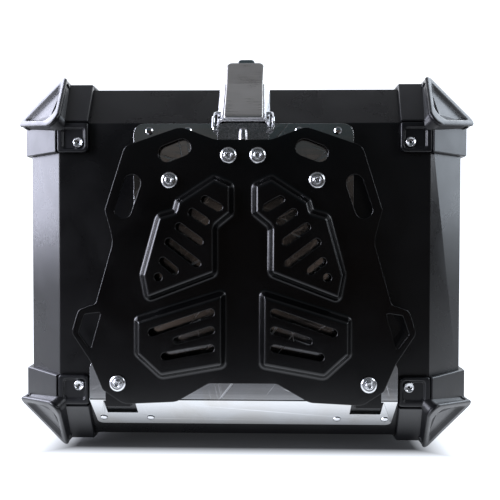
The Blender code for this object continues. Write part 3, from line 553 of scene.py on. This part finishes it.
def skin(bm, rings):
    """The wall through a run of rings."""
    for first, second in zip(rings, rings[1:]):
        bridge(bm, first, second)


def closed(bm, rings):
    """A solid from a run of rings and a face over either end."""
    skin(bm, rings)
    bm.faces.new(rings[0])
    bm.faces.new(rings[-1])


def join(bm, part):
    """Move a part's mesh into another."""
    copy = bpy.data.meshes.new("part")
    part.to_mesh(copy)
    part.free()
    bm.from_mesh(copy)
    bpy.data.meshes.remove(copy)


def inside(point, outline):
    """Whether a point lies in an outline, by counting crossings."""
    within = False
    for (ax, ay), (bx, by) in zip(outline, outline[1:] + outline[:1]):
        if (ay > point[1]) != (by > point[1]):
            if point[0] < ax + (bx - ax) * (point[1] - ay) / (by - ay):
                within = not within
    return within


def fill(bm, loops):
    """Flat faces between the first ring and the rings in it."""
    verts = [vert for loop in loops for vert in loop]
    points = [Vector((vert.co[0], vert.co[1])) for vert in verts]
    edges = []
    outlines = []
    start = 0
    for loop in loops:
        count = len(loop)
        edges += [(start + index, start + (index + 1) % count) for index in range(count)]
        outlines.append([tuple(point) for point in points[start:start + count]])
        start += count
    result = delaunay_2d_cdt(points, edges, [], 0, 1e-9)
    for triangle in result[2]:
        corners = [result[3][index][0] for index in triangle]
        middle = sum((points[index] for index in corners), Vector((0, 0))) / 3
        if inside(middle, outlines[0]) and not any(inside(middle, hole) for hole in outlines[1:]):
            bm.faces.new([verts[index] for index in corners])


def finish_mesh(bm, name, matrix=IN_CASE):
    """A closed, outward mesh in world coordinates, smooth over its rounded edges."""
    bmesh.ops.recalc_face_normals(bm, faces=bm.faces)
    bm.transform(matrix)
    if bm.calc_volume(signed=True) < 0:
        bmesh.ops.reverse_faces(bm, faces=bm.faces)
    mesh = bpy.data.meshes.new(name)
    bm.to_mesh(mesh)
    bm.free()
    mesh.shade_smooth()
    return mesh


def piece(name, mesh, finish, body, stands_for=()):
    """A visible piece with its material, riding on a body."""
    obj = bpy.data.objects.new(name, mesh)
    bpy.context.scene.collection.objects.link(obj)
    mesh.materials.append(MATERIALS[finish])
    normals = obj.modifiers.new("normals", "WEIGHTED_NORMAL")
    normals.weight = 80
    normals.keep_sharp = True
    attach(obj, body)
    if stands_for:
        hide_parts(*stands_for)
    return obj


# ---------------------------------------------------------------- base plate

PLATE_Z0 = 8.5 * MM                 # the plate's outer face, and the pads' at 0
PLATE_Z1 = 11.0 * MM
PLATE_EDGE = 0.55                   # mm, rounding of its cut edges
PLATE_HALF = [
    (0, -106.5, 0), (24, -106.5, 18), (53, -117.5, 14), (101, -101, 9), (118, -47, 5),
    (111, -20, 22), (126, 33, 4), (141, 38.5, 6), (147, 58, 8), (130, 84, 24),
    (120, 107.5, 6), (102, 119.5, 14), (57, 117.3, 14), (29, 101.3, 8), (0, 101.3, 0),
]
UPPER_PAD = [(24.7, -78, 5), (6.1, -70, 7), (6.1, -42.3, 6), (19.8, -31, 6), (19.6, 9.5, 8), (84, 34, 7),
             (89, 8, 8), (74.5, -44.5, 9), (60.5, -48.3, 3), (58.5, -56, 6)]
LOWER_PAD = [(12.8, 18.3, 6), (12.7, 88.2, 7), (70.5, 98.5, 9), (93.8, 77, 7), (93.8, 43.7, 6)]
UPPER_SLOTS = [
    (33.2, -56, 18.6, -47.7), (43.9, -45.5, 29.9, -36), (54.8, -33.5, 34.8, -19),
    (63.4, -20.8, 36.9, -0.5), (68.2, -4.8, 55.8, 5.5), (70.9, 9.8, 70.8, 9.8),
]
LOWER_SLOTS = [(77.8, 57, 25, 39), (56.8, 64, 25, 54), (67, 77, 25, 69.3)]
PLATE_SLOTS = [(58.3, -97.3, 7, 7.3, 21), (98.4, -58.4, 12, 7.3, 71)]
EAR_CUT = [(121.5, 40.5, 1.5), (135.5, 42.5, 2), (141, 58.5, 2), (130.5, 72.5, 1.5)]
SCREW_SPOTS = [(62.5, -72), (12.4, -93), (107, 101.3)]
SCREW_HOLE = 3.3                    # mm, radius
SLOT_RADIUS = 3.4                   # mm, of the pads' slots
PAD_RUN = 8.6                       # mm, plan width of a pad's S-shaped wall
PAD_START = 0.5                     # mm, how far outside the pad's outline that wall begins
PAD_SHEET = 2.2                     # mm, the drawn sheet's thickness in a pad's floor
WALL_TILT = 66                      # degrees, its steepest part
WALL_STEPS = 6


def anticlockwise(corners):
    area = sum(a[0] * b[1] - b[0] * a[1] for a, b in zip(corners, corners[1:] + corners[:1]))
    return corners if area > 0 else list(reversed(corners))


def edge_profile(thickness):
    """(distance into the sheet, depth from its face) in mm around a rounded cut edge."""
    soft = PLATE_EDGE
    near = [(soft, 0), (soft * 0.29, soft * 0.29), (0, soft)]
    return near + [(away, thickness - depth) for away, depth in reversed(near)]


def cut_edge(bm, outline_at, z, thickness):
    """The wall of a cut through the sheet; gives its rings on either face."""
    rings = [ring(bm, outline_at(away), z + depth * MM) for away, depth in edge_profile(thickness)]
    skin(bm, rings)
    return rings[0], rings[-1]


def pad_wall_profile():
    """Pairs of (inset, z) in mm for a pad wall's outer and inner surface: an arc, a straight, an arc."""
    depth = PLATE_Z0 / MM
    steepest = math.radians(WALL_TILT)
    radius = (PAD_RUN * math.sin(steepest) - depth * math.cos(steepest)) / (2 * (1 - math.cos(steepest)))
    near, far = [], []
    for step in range(WALL_STEPS + 1):
        tilt = steepest * step / WALL_STEPS
        across, down = radius * math.sin(tilt), radius * (1 - math.cos(tilt))
        near.append((tilt, across, depth - down))
        far.append((tilt, PAD_RUN - across, down))
    outer = []
    inner = []
    for tilt, across, height in near + list(reversed(far)):
        part = across / PAD_RUN
        sheet = (PLATE_Z1 - PLATE_Z0) / MM * (1 - part) + PAD_SHEET * part
        outer.append((across - PAD_START, height))
        inner.append((across - PAD_START + sheet * math.sin(tilt), height + sheet * math.cos(tilt)))
    return outer, inner


def make_plate():
    """The pressed plate in one sheet: its outline, holes, ears and four drawn pads with slots."""
    bm = bmesh.new()
    half = PLATE_HALF
    whole = anticlockwise(half + [(-x, y, radius) for x, y, radius in reversed(half)][1:-1])
    thickness = (PLATE_Z1 - PLATE_Z0) / MM
    low, high = [], []

    def cut(outline_at):
        near, far = cut_edge(bm, outline_at, PLATE_Z0, thickness)
        low.append(near)
        high.append(far)

    cut(lambda away: rounded(inset(whole, away)))
    outer_wall, inner_wall = pad_wall_profile()
    for side in (1, -1):
        for x, y, half_length, radius, degrees in PLATE_SLOTS:
            turn = degrees if side > 0 else 180 - degrees
            cut(lambda away: stadium(side * x, y, half_length, radius + away, turn))
        ear = anticlockwise(EAR_CUT if side > 0 else mirrored(EAR_CUT))
        cut(lambda away: rounded(inset(ear, -away)))
        for x, y in SCREW_SPOTS:
            cut(lambda away: stadium(side * x, y, 0.01, SCREW_HOLE + away, 0))
        for corners, slots in ((UPPER_PAD, UPPER_SLOTS), (LOWER_PAD, LOWER_SLOTS)):
            pad = anticlockwise(corners if side > 0 else mirrored(corners))
            outer = [ring(bm, rounded(inset(pad, away)), z * MM) for away, z in outer_wall]
            inner = [ring(bm, rounded(inset(pad, away)), z * MM) for away, z in inner_wall]
            skin(bm, outer)
            skin(bm, inner)
            low.append(outer[0])
            high.append(inner[0])
            floor_low, floor_high = [outer[-1]], [inner[-1]]
            for x0, y0, x1, y1 in slots:
                length = max(math.hypot(x1 - x0, y1 - y0) / 2 - 2, 0.01)
                turn = math.degrees(math.atan2(y1 - y0, (x1 - x0) * side))
                middle = ((x0 + x1) / 2 * side, (y0 + y1) / 2)
                near, far = cut_edge(
                    bm, lambda away: stadium(*middle, length, SLOT_RADIUS + away, turn), 0, PAD_SHEET)
                floor_low.append(near)
                floor_high.append(far)
            fill(bm, floor_low)
            fill(bm, floor_high)
    fill(bm, low)
    fill(bm, high)
    mesh = finish_mesh(bm, "pressed_plate")
    piece("pressed_plate", mesh, "plate_coat", "case", ("base_plate",))


make_plate()


# ---------------------------------------------------------------- corner guards

# How far the bands reach from the corner, in mm, by (axis they run along, plane they fold to)
REACH = {(0, 2): 65.0, (0, 1): 58.5, (1, 2): 63.8, (1, 0): 62.3, (2, 0): 60.0, (2, 1): 60.0}
GUARD_AIR = 0.3                     # mm, between guard and case
GUARD_T = 4.8
MITRE = 0.414                       # tan 22.5 degrees: a fold's shift per mm of thickness
POCKET_DEPTH = 2.0                  # mm
POCKET_IN = 4.6                     # the rivet pocket's sides: in from the tab's root,
POCKET_BACK = 3.0                   # and back from its ends
RIVET_BACK = 8.8                    # its rivet, back from the same ends
BUMPER_INWARD = Vector((1, 1, 1.12)).normalized()
BUMPER_DOWN = Vector((1.12, 1.12, -2)).normalized()
BUMPER_ACROSS = BUMPER_INWARD.cross(BUMPER_DOWN)
BUMPER_MIDDLE = Vector((11, 11, 34))
BUMPER_OUTLINE = [(74, 0, 8.6), (-6, 34, 6), (-6, -34, 6)]
RECESS_OUTLINE = [(74, 0, 8.6), (-2.5, 32.5, 6), (-2.5, -32.5, 6)]
RECESS_FROM = 4                     # mm narrower: from here on in, the rings follow RECESS_OUTLINE
RECESS_RADII = (9.0, 2.4, 2.4)      # mm, least corner radii of those rings
BUMPER_SECTION = [
    # (mm behind the rim's plane, mm narrower), from the recess's floor over the rim to the root
    (3.0, 9.4), (2.95, 8.7), (2.75, 8.1), (2.2, 7.3), (0.8, 5.7), (0.3, 5.0), (0.06, 4.3), (0, 3.7), (0, 2.0),
    (0.12, 1.2), (0.5, 0.45), (1.1, 0.1), (1.8, 0.0), (2.4, 0.1), (3.0, 0.45), (3.8, 0.8), (6, 1.0),
    (11, 1.2), (16, 2.0), (21, 5.0),
]


def bumper_ring(bm, depth, narrower):
    corners = inset(RECESS_OUTLINE if narrower > RECESS_FROM else BUMPER_OUTLINE, narrower)
    if narrower > RECESS_FROM:
        corners = [(x, y, max(radius, least)) for (x, y, radius), least in zip(corners, RECESS_RADII)]
    middle = BUMPER_MIDDLE + BUMPER_INWARD * depth
    return [bm.verts.new((middle * MM + BUMPER_DOWN * x + BUMPER_ACROSS * y))
            for x, y in rounded(corners, 8)]


def make_bumper(bm):
    """The raised triangular bumper, with a rounded rim and a shallow dish."""
    rings = [bumper_ring(bm, depth, narrower) for depth, narrower in BUMPER_SECTION]
    closed(bm, rings)


def soft_solid(bm, faces_rings, radius, segments=3):
    """A prism between two rings of points, with every edge rounded."""
    part = bmesh.new()
    rings = [[part.verts.new(Vector(point) * MM) for point in points] for points in faces_rings]
    closed(part, rings)
    bmesh.ops.recalc_face_normals(part, faces=part.faces)
    sharp = [edge for edge in part.edges if edge.calc_face_angle(0) > 0.6]
    bmesh.ops.bevel(part, geom=sharp, offset=radius * MM, offset_type="OFFSET", segments=segments,
                    affect="EDGES", profile=0.5, clamp_overlap=True)
    join(bm, part)


def make_band(bm, axis):
    """The plate over one chamfer; it runs along the axis, between the two other planes."""
    first, second = [other for other in range(3) if other != axis]
    fold_out = CHAMFER / MM - MITRE * GUARD_T
    fold_in = CHAMFER / MM

    def section(start):
        points = []
        outside = -GUARD_AIR - GUARD_T
        for out, fold, on_first in ((outside, fold_out, True), (outside, fold_out, False),
                                    (-GUARD_AIR, fold_in, False), (-GUARD_AIR, fold_in, True)):
            point = [0.0, 0.0, 0.0]
            near, far = (first, second) if on_first else (second, first)
            point[near] = out
            point[far] = fold + 0.6
            point[axis] = REACH[(axis, near)] if start is None else start
            points.append(point)
        return points

    soft_solid(bm, [section(30.0), section(None)], 1.1)


def make_tab(bm, axis):
    """The plate on one flat face, with rounded corners and a sunk pocket for its rivet."""
    order = {0: (1, 2, 0), 1: (2, 0, 1), 2: (0, 1, 2)}[axis]
    near = CHAMFER / MM - MITRE * GUARD_T + 1.9
    far = [REACH[(order[0], axis)], REACH[(order[1], axis)]]
    low = near + POCKET_IN
    high = [reach - POCKET_BACK for reach in far]
    outline = [(near, near, 5), (far[0], near, 2.5), (far[0], far[1], 5), (near, far[1], 2.5)]
    hollow = [(low, low, 4), (high[0], low, 3), (high[0], high[1], 3.5), (low, high[1], 3)]
    part = bmesh.new()
    top = GUARD_T
    section = [(1.5, top), (0.8, top - 0.15), (0.25, top - 0.6), (0, top - 1.5), (0, 0)]
    rings = [ring(part, rounded(inset(outline, away)), -(GUARD_AIR + z) * MM) for away, z in section]
    skin(part, rings)
    dip = [(-0.9, top), (-0.45, top - 0.12), (0.0, top - 0.45), (0.4, top - 1.05), (0.8, top - 1.6),
           (1.2, top - 1.9), (1.8, top - POCKET_DEPTH)]
    walls = [ring(part, rounded(inset(hollow, away)), -(GUARD_AIR + z) * MM) for away, z in dip]
    skin(part, walls)
    fill(part, [rings[0], walls[0]])
    fill(part, [walls[-1]])
    fill(part, [rings[-1]])
    for vert in part.verts:
        flat = vert.co.copy()
        for index in range(3):
            vert.co[order[index]] = flat[index]
    bmesh.ops.recalc_face_normals(part, faces=part.faces)
    join(bm, part)


GUARD_RIVET = [
    # (radius, height above the pocket's floor) in mm: domed ring with a dark bore
    (0.0, -1.2), (1.05, -1.2), (1.15, 0.35), (1.4, 0.5), (2.2, 0.45), (3.0, 0.7), (3.3, 1.2), (3.65, 1.55),
    (4.05, 1.5), (4.35, 1.1), (4.5, 0.5), (4.5, -1.5), (0.0, -1.5),
]


def turned(bm, profile, matrix, steps=28):
    """A body of revolution about Z through a matrix; the profile starts and ends on the axis."""
    rings = []
    for radius, z in profile[1:-1]:
        rings.append([bm.verts.new(matrix @ Vector((radius * math.cos(a), radius * math.sin(a), z)))
                      for a in (math.tau * step / steps for step in range(steps))])
    skin(bm, rings)
    for end, loop in ((profile[0], rings[0]), (profile[-1], rings[-1])):
        tip = bm.verts.new(matrix @ Vector((0, 0, end[1])))
        for index, vert in enumerate(loop):
            bm.faces.new((vert, loop[(index + 1) % steps], tip))


def make_guards():
    """One guard and its three rivets, mirrored to the case's eight corners."""
    guard = bmesh.new()
    make_bumper(guard)
    for axis in range(3):
        make_band(guard, axis)
        make_tab(guard, axis)
    rivets = bmesh.new()
    level = -(GUARD_AIR + GUARD_T - POCKET_DEPTH)
    for axis in range(3):
        spot = [REACH.get((other, axis), 0) - RIVET_BACK for other in range(3)]
        spot[axis] = level
        outward = Vector([-1.0 if index == axis else 0.0 for index in range(3)])
        turn = outward.to_track_quat("Z", "Y").to_matrix().to_4x4()
        turned(rivets, GUARD_RIVET, Matrix.Scale(MM, 4) @ Matrix.Translation(spot) @ turn)
    for part, z, up in (("body", CASE_Z0, 1), ("lid", CASE_Z1, -1)):
        for y_side, y_name in ((-1, "front"), (1, "rear")):
            for x_side, x_name in ((-1, "left"), (1, "right")):
                spot = IN_CASE @ Matrix.Translation((x_side * HALF_X, y_side * HALF_Y, z))
                corner = spot @ Matrix.Diagonal((-x_side, -y_side, up, 1))
                label = "%s_%s_%s" % (part, y_name, x_name)
                body = "case" if part == "body" else "lid"
                mesh = finish_mesh(guard.copy(), "corner_" + label, corner)
                piece("corner_" + label, mesh, "guard_plastic", body,
                      ("%s_guard_%s_%s" % (part, y_name, x_name),))
                mesh = finish_mesh(rivets.copy(), "rivets_" + label, corner)
                piece("corner_rivets_" + label, mesh, "zinc", body)


SCREW_HEAD = [
    # (radius, height under the plate) in mm, from the socket's floor over the head to its flange
    (0, -4.0), (0.5, -3.9), (0.9, -3.3), (1.7, -3.2), (1.8, -4.8), (2.1, -5.2), (2.7, -5.3), (3.3, -5.05),
    (3.6, -4.3), (3.7, -2.7), (4.0, -2.3), (4.5, -2.5), (4.9, -2.75), (5.6, -2.6), (6.4, -2.1), (6.9, -1.6),
    (7.05, -1.1), (6.95, -0.4), (0, -0.35),
]


def make_screws():
    """Flanged socket screws that hold the plate."""
    for name in NODES:
        if name.startswith("plate_screw"):
            low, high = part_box(name)
            bm = bmesh.new()
            turned(bm, SCREW_HEAD, Matrix.Scale(MM, 4), 36)
            tallest = -min(height for radius, height in SCREW_HEAD) * MM
            spot = Matrix.Translation(((low.x + high.x) / 2, (low.y + high.y) / 2, low.z + tallest))
            piece("head_" + name, finish_mesh(bm, "head", spot), "zinc", "case", (name,))


make_guards()
make_screws()


# ---------------------------------------------------------------- latches

PIVOT_LIFT = 4.6                    # mm, pivot over the wall it is mounted on
LEVER_FACE = 4.7                    # mm, a lever's face over its pivot
LEVER_SHEET = 1.4
LEVER_CORNER = 2.3                  # mm, radius along a lever's two edges
LID_PIVOT_Z = 221 * MM


def release_frame():
    """Origin on the release lever's pivot: Y up the front chamfer, Z out of it."""
    root = math.sqrt(0.5)
    y = -(HALF_Y - CHAMFER) - root * (1.5 + PIVOT_LIFT) * MM
    z = CASE_Z0 + root * (1.5 - PIVOT_LIFT) * MM
    return Matrix.Translation((0, y, z)) @ Matrix.Rotation(math.radians(135), 4, "X")


def lid_latch_frame():
    """Origin on the lid latch lever's pivot: Y down the front wall, Z out of it."""
    turned_over = Matrix(((-1, 0, 0, 0), (0, 0, -1, 0), (0, -1, 0, 0), (0, 0, 0, 1)))
    return Matrix.Translation((0, -HALF_Y - PIVOT_LIFT * MM, LID_PIVOT_Z)) @ turned_over


def channel_section(half, face, drop, radius):
    """Half of a lever's cross-section in (x, n): down the outside, back up the inside."""
    outer = []
    inner = []
    steps = 5
    for step in range(steps + 1):
        angle = math.radians(90) * step / steps
        outer.append((half - radius + radius * math.sin(angle), face - radius + radius * math.cos(angle)))
        tight = max(radius - LEVER_SHEET, 0.2)
        inner.append((half - radius + tight * math.sin(angle), face - radius + tight * math.cos(angle)))
    outer.append((half, face - drop))
    inner.append((half - LEVER_SHEET, face - drop))
    return outer, inner


def lever_mesh(name, frame, stations):
    """A stamped lever: rings of (s, half width, face height, flange depth) in mm."""
    bm = bmesh.new()
    rings = []
    for s, half, face, drop in stations:
        outer, inner = channel_section(half, face, drop, LEVER_CORNER)
        across = [(-x, n) for x, n in reversed(outer)] + outer + list(reversed(inner))
        across += [(-x, n) for x, n in inner]
        rings.append([bm.verts.new((x * MM, s * MM, n * MM)) for x, n in across])
    closed(bm, rings)
    return finish_mesh(bm, name, IN_CASE @ frame)


def lever_stations(toe, bend, tip, half, lift, flange_end, grow):
    """Stations from a rolled toe over the flanged body and the bend to a tip with round corners."""
    stations = [(toe, half - 1.2, LEVER_FACE - 2.2, 1.3), (toe + 0.3, half - 0.5, LEVER_FACE - 1.2, 1.8),
                (toe + 1.0, half - 0.15, LEVER_FACE - 0.4, 2.4), (toe + 2.0, half, LEVER_FACE, 2.8)]
    stations += [(toe + 4.5, half, LEVER_FACE, 6.0), (toe + 6.5, half, LEVER_FACE, 7.0),
                 (flange_end - 4, half, LEVER_FACE, 7.0), (flange_end, half, LEVER_FACE, 3.4)]
    for step in range(5):
        part = step / 4
        stations.append((bend - 1.5 + 3 * part, half, LEVER_FACE + 0.08 * part * part, 3.0))
    corner = 4.0
    rise = lift / (tip - bend)
    for step in range(7):
        angle = math.radians(90) * step / 6
        s = tip - corner + corner * math.sin(angle) * 0.995
        narrower = corner * (1 - math.cos(angle)) * 0.75
        stations.append((s, half + grow - narrower, LEVER_FACE + rise * (s - bend), 3.0))
    return stations


def tube(bm, points, radius, matrix, steps=12):
    """A round bar through points in mm, with flat ends."""
    rings = []
    spots = [Vector(point) for point in points]
    for index, spot in enumerate(spots):
        ahead = (spots[min(index + 1, len(spots) - 1)] - spots[max(index - 1, 0)]).normalized()
        turn = ahead.to_track_quat("Z", "Y").to_matrix()
        loop = []
        for step in range(steps):
            angle = math.tau * step / steps
            offset = turn @ Vector((math.cos(angle), math.sin(angle), 0)) * radius
            loop.append(bm.verts.new(matrix @ ((spot + offset) * MM)))
        rings.append(loop)
    closed(bm, rings)


def make_release_base(frame):
    """Mounting channel: back plate, two flared walls, two lugs, and the hoop and lip over the keeper."""
    bm = bmesh.new()
    for side in (1, -1):
        rings = []
        for s, low, high, top in ((50, 23.2, 18.2, 3.2), (49, 23.2, 18.1, 3.4), (2, 23.2, 18.1, 3.4),
                                  (-2, 23.0, 18.4, 3.3), (-5, 22.7, 19.1, 2.8), (-7.5, 22.4, 20.2, 1.8),
                                  (-9.5, 22.1, 21.1, 0.2)):
            outer = [(low, -4.2), (low - (low - high) * 0.12, -3.0), (high + 0.35, top - 0.6), (high, top),
                     (high - 0.8, top + 0.25), (high - 1.3, top - 0.2)]
            inner = [(high - 1.0, top - 1.2), (low - (low - high) * 0.12 - 1.2, -3.0), (low - 1.6, -4.2)]
            rings.append([bm.verts.new((side * x * MM, s * MM, n * MM)) for x, n in outer + inner])
        closed(bm, rings)
    part = bmesh.new()
    soft_solid(part, [[(-20.6, 0, -4.2), (20.6, 0, -4.2), (20.6, 0, -2.8), (-20.6, 0, -2.8)],
                      [(-20.6, 50, -4.2), (20.6, 50, -4.2), (20.6, 50, -2.8), (-20.6, 50, -2.8)]], 0.4)
    for x in (-10, 10):
        soft_solid(part, [[(x - 1, -2.6, -3), (x + 1, -2.6, -3), (x + 1, -2.2, 2.2), (x - 1, -2.2, 2.2)],
                          [(x - 1, 3.2, -3), (x + 1, 3.2, -3), (x + 1, 2.2, 2.2), (x - 1, 2.2, 2.2)]], 0.4)
    join(bm, part)
    hoop = [(-21.7, -116.3, 13.8), (-21.7, -118.2, 12.6)]
    for step in range(7):
        angle = math.radians(90) * step / 6
        hoop.append((-17.7 - 4 * math.cos(angle), -119.4 - 3.8 * math.sin(angle), 12.2))
    hoop += [(-x, y, z) for x, y, z in reversed(hoop)]
    tube(bm, hoop, 0.8, frame.inverted())
    lip = [(-19.6, -121.6, 12.4), (-18.6, -123.7, 12.2), (-16.9, -124.9, 12.1)]
    lip += [(-x, y, z) for x, y, z in reversed(lip)]
    tube(bm, lip, 0.7, frame.inverted())
    mesh = finish_mesh(bm, "latch_channel", IN_CASE @ frame)
    piece("latch_channel", mesh, "satin", "case", ("release_latch_base",))


def make_keeper_rib():
    """The pressed rib along the keeper's middle, rounded at its front."""
    bm = bmesh.new()
    base = PLATE_Z1 + GAP + 0.6 * MM
    rings = []
    for y, half, height in ((-117.2, 0.5, 0.7), (-116.9, 1.6, 1.2), (-116.2, 2.5, 1.8), (-115, 3.2, 2.3),
                            (-113, 3.7, 2.7), (-108, 3.9, 2.8), (-101, 3.9, 2.8), (-98.5, 2.5, 1.6)):
        loop = []
        for step in range(13):
            angle = math.pi * step / 12
            loop.append(bm.verts.new((half * math.cos(angle) * MM, y * MM,
                                      base - height * math.sin(angle) * MM)))
        rings.append(loop)
    closed(bm, rings)
    piece("keeper_rib", finish_mesh(bm, "keeper_rib"), "dark_steel", "case")


def make_latches():
    """Both levers, and the release latch's channel and keeper rib."""
    release = release_frame()
    stations = lever_stations(-5.6, 48, 82, 17.2, 1.5, 40, 0.8)
    piece("release_lever", lever_mesh("release_lever", release, stations), "brushed",
          "release_latch_lever", ("release_latch_lever",))
    make_release_base(release)
    make_keeper_rib()
    stations = lever_stations(-4.2, 121, 128, 16.0, 2.0, 108, -0.4)
    piece("lid_lever", lever_mesh("lid_lever", lid_latch_frame(), stations), "brushed",
          "lid_latch_lever", ("lid_latch_lever",))


make_latches()


# ---------------------------------------------------------------- CAD nodes that stay

def soften(obj, width, segments=3, angle=32):
    """Round a CAD node's edges with modifiers alone."""
    weld = obj.modifiers.new("weld", "WELD")
    weld.merge_threshold = 0.00001
    bevel = obj.modifiers.new("edges", "BEVEL")
    bevel.width = width
    bevel.segments = segments
    bevel.limit_method = "ANGLE"
    bevel.angle_limit = math.radians(angle)
    bevel.harden_normals = True
    bevel.miter_outer = "MITER_ARC"


KEPT = [
    # name's start, material, edge radius in mm
    ("body_shell", "body_coat", 1.6),
    ("lid_shell", "body_coat", 1.6),
    ("body_rim", "aluminium", 0.6),
    ("lid_rim", "aluminium", 0.6),
    ("lid_seal", "rubber", 0.8),
    ("hinge_body_leaf", "body_coat", 0.3),
    ("hinge_lid_leaf", "body_coat", 0.3),
    ("hinge_pin", "chrome", 0.4),
    ("adapter_plate", "aluminium", 0.35),
    ("adapter_rivet", "chrome", 0),
    ("adapter_spacer", "rubber", 0.4),
    ("rubber_buffer", "rubber", 0),
    ("rear_hook", "plate_coat", 0.5),
    ("latch_keeper", "dark_steel", 0.4),
    ("lid_latch_keeper", "brushed", 0.5),
    ("lid_latch_base", "polished", 0.3),
    ("release_latch_bail", "chrome", 0),
    ("lid_latch_bail", "chrome", 0),
    ("release_latch_pivot", "chrome", 0.3),
    ("lid_latch_pivot", "chrome", 0.3),
    ("lock_barrel", "chrome", 0.2),
    ("key", "chrome", 0.3),
    ("floor_mat", "foam", 1.0),
    ("lid_liner", "foam", 1.0),
]


def dress_kept_nodes():
    for start, finish, edge in KEPT:
        for name, obj in NODES.items():
            if name.startswith(start):
                obj.data.materials.clear()
                obj.data.materials.append(MATERIALS[finish])
                if edge:
                    soften(obj, edge * MM)


dress_kept_nodes()
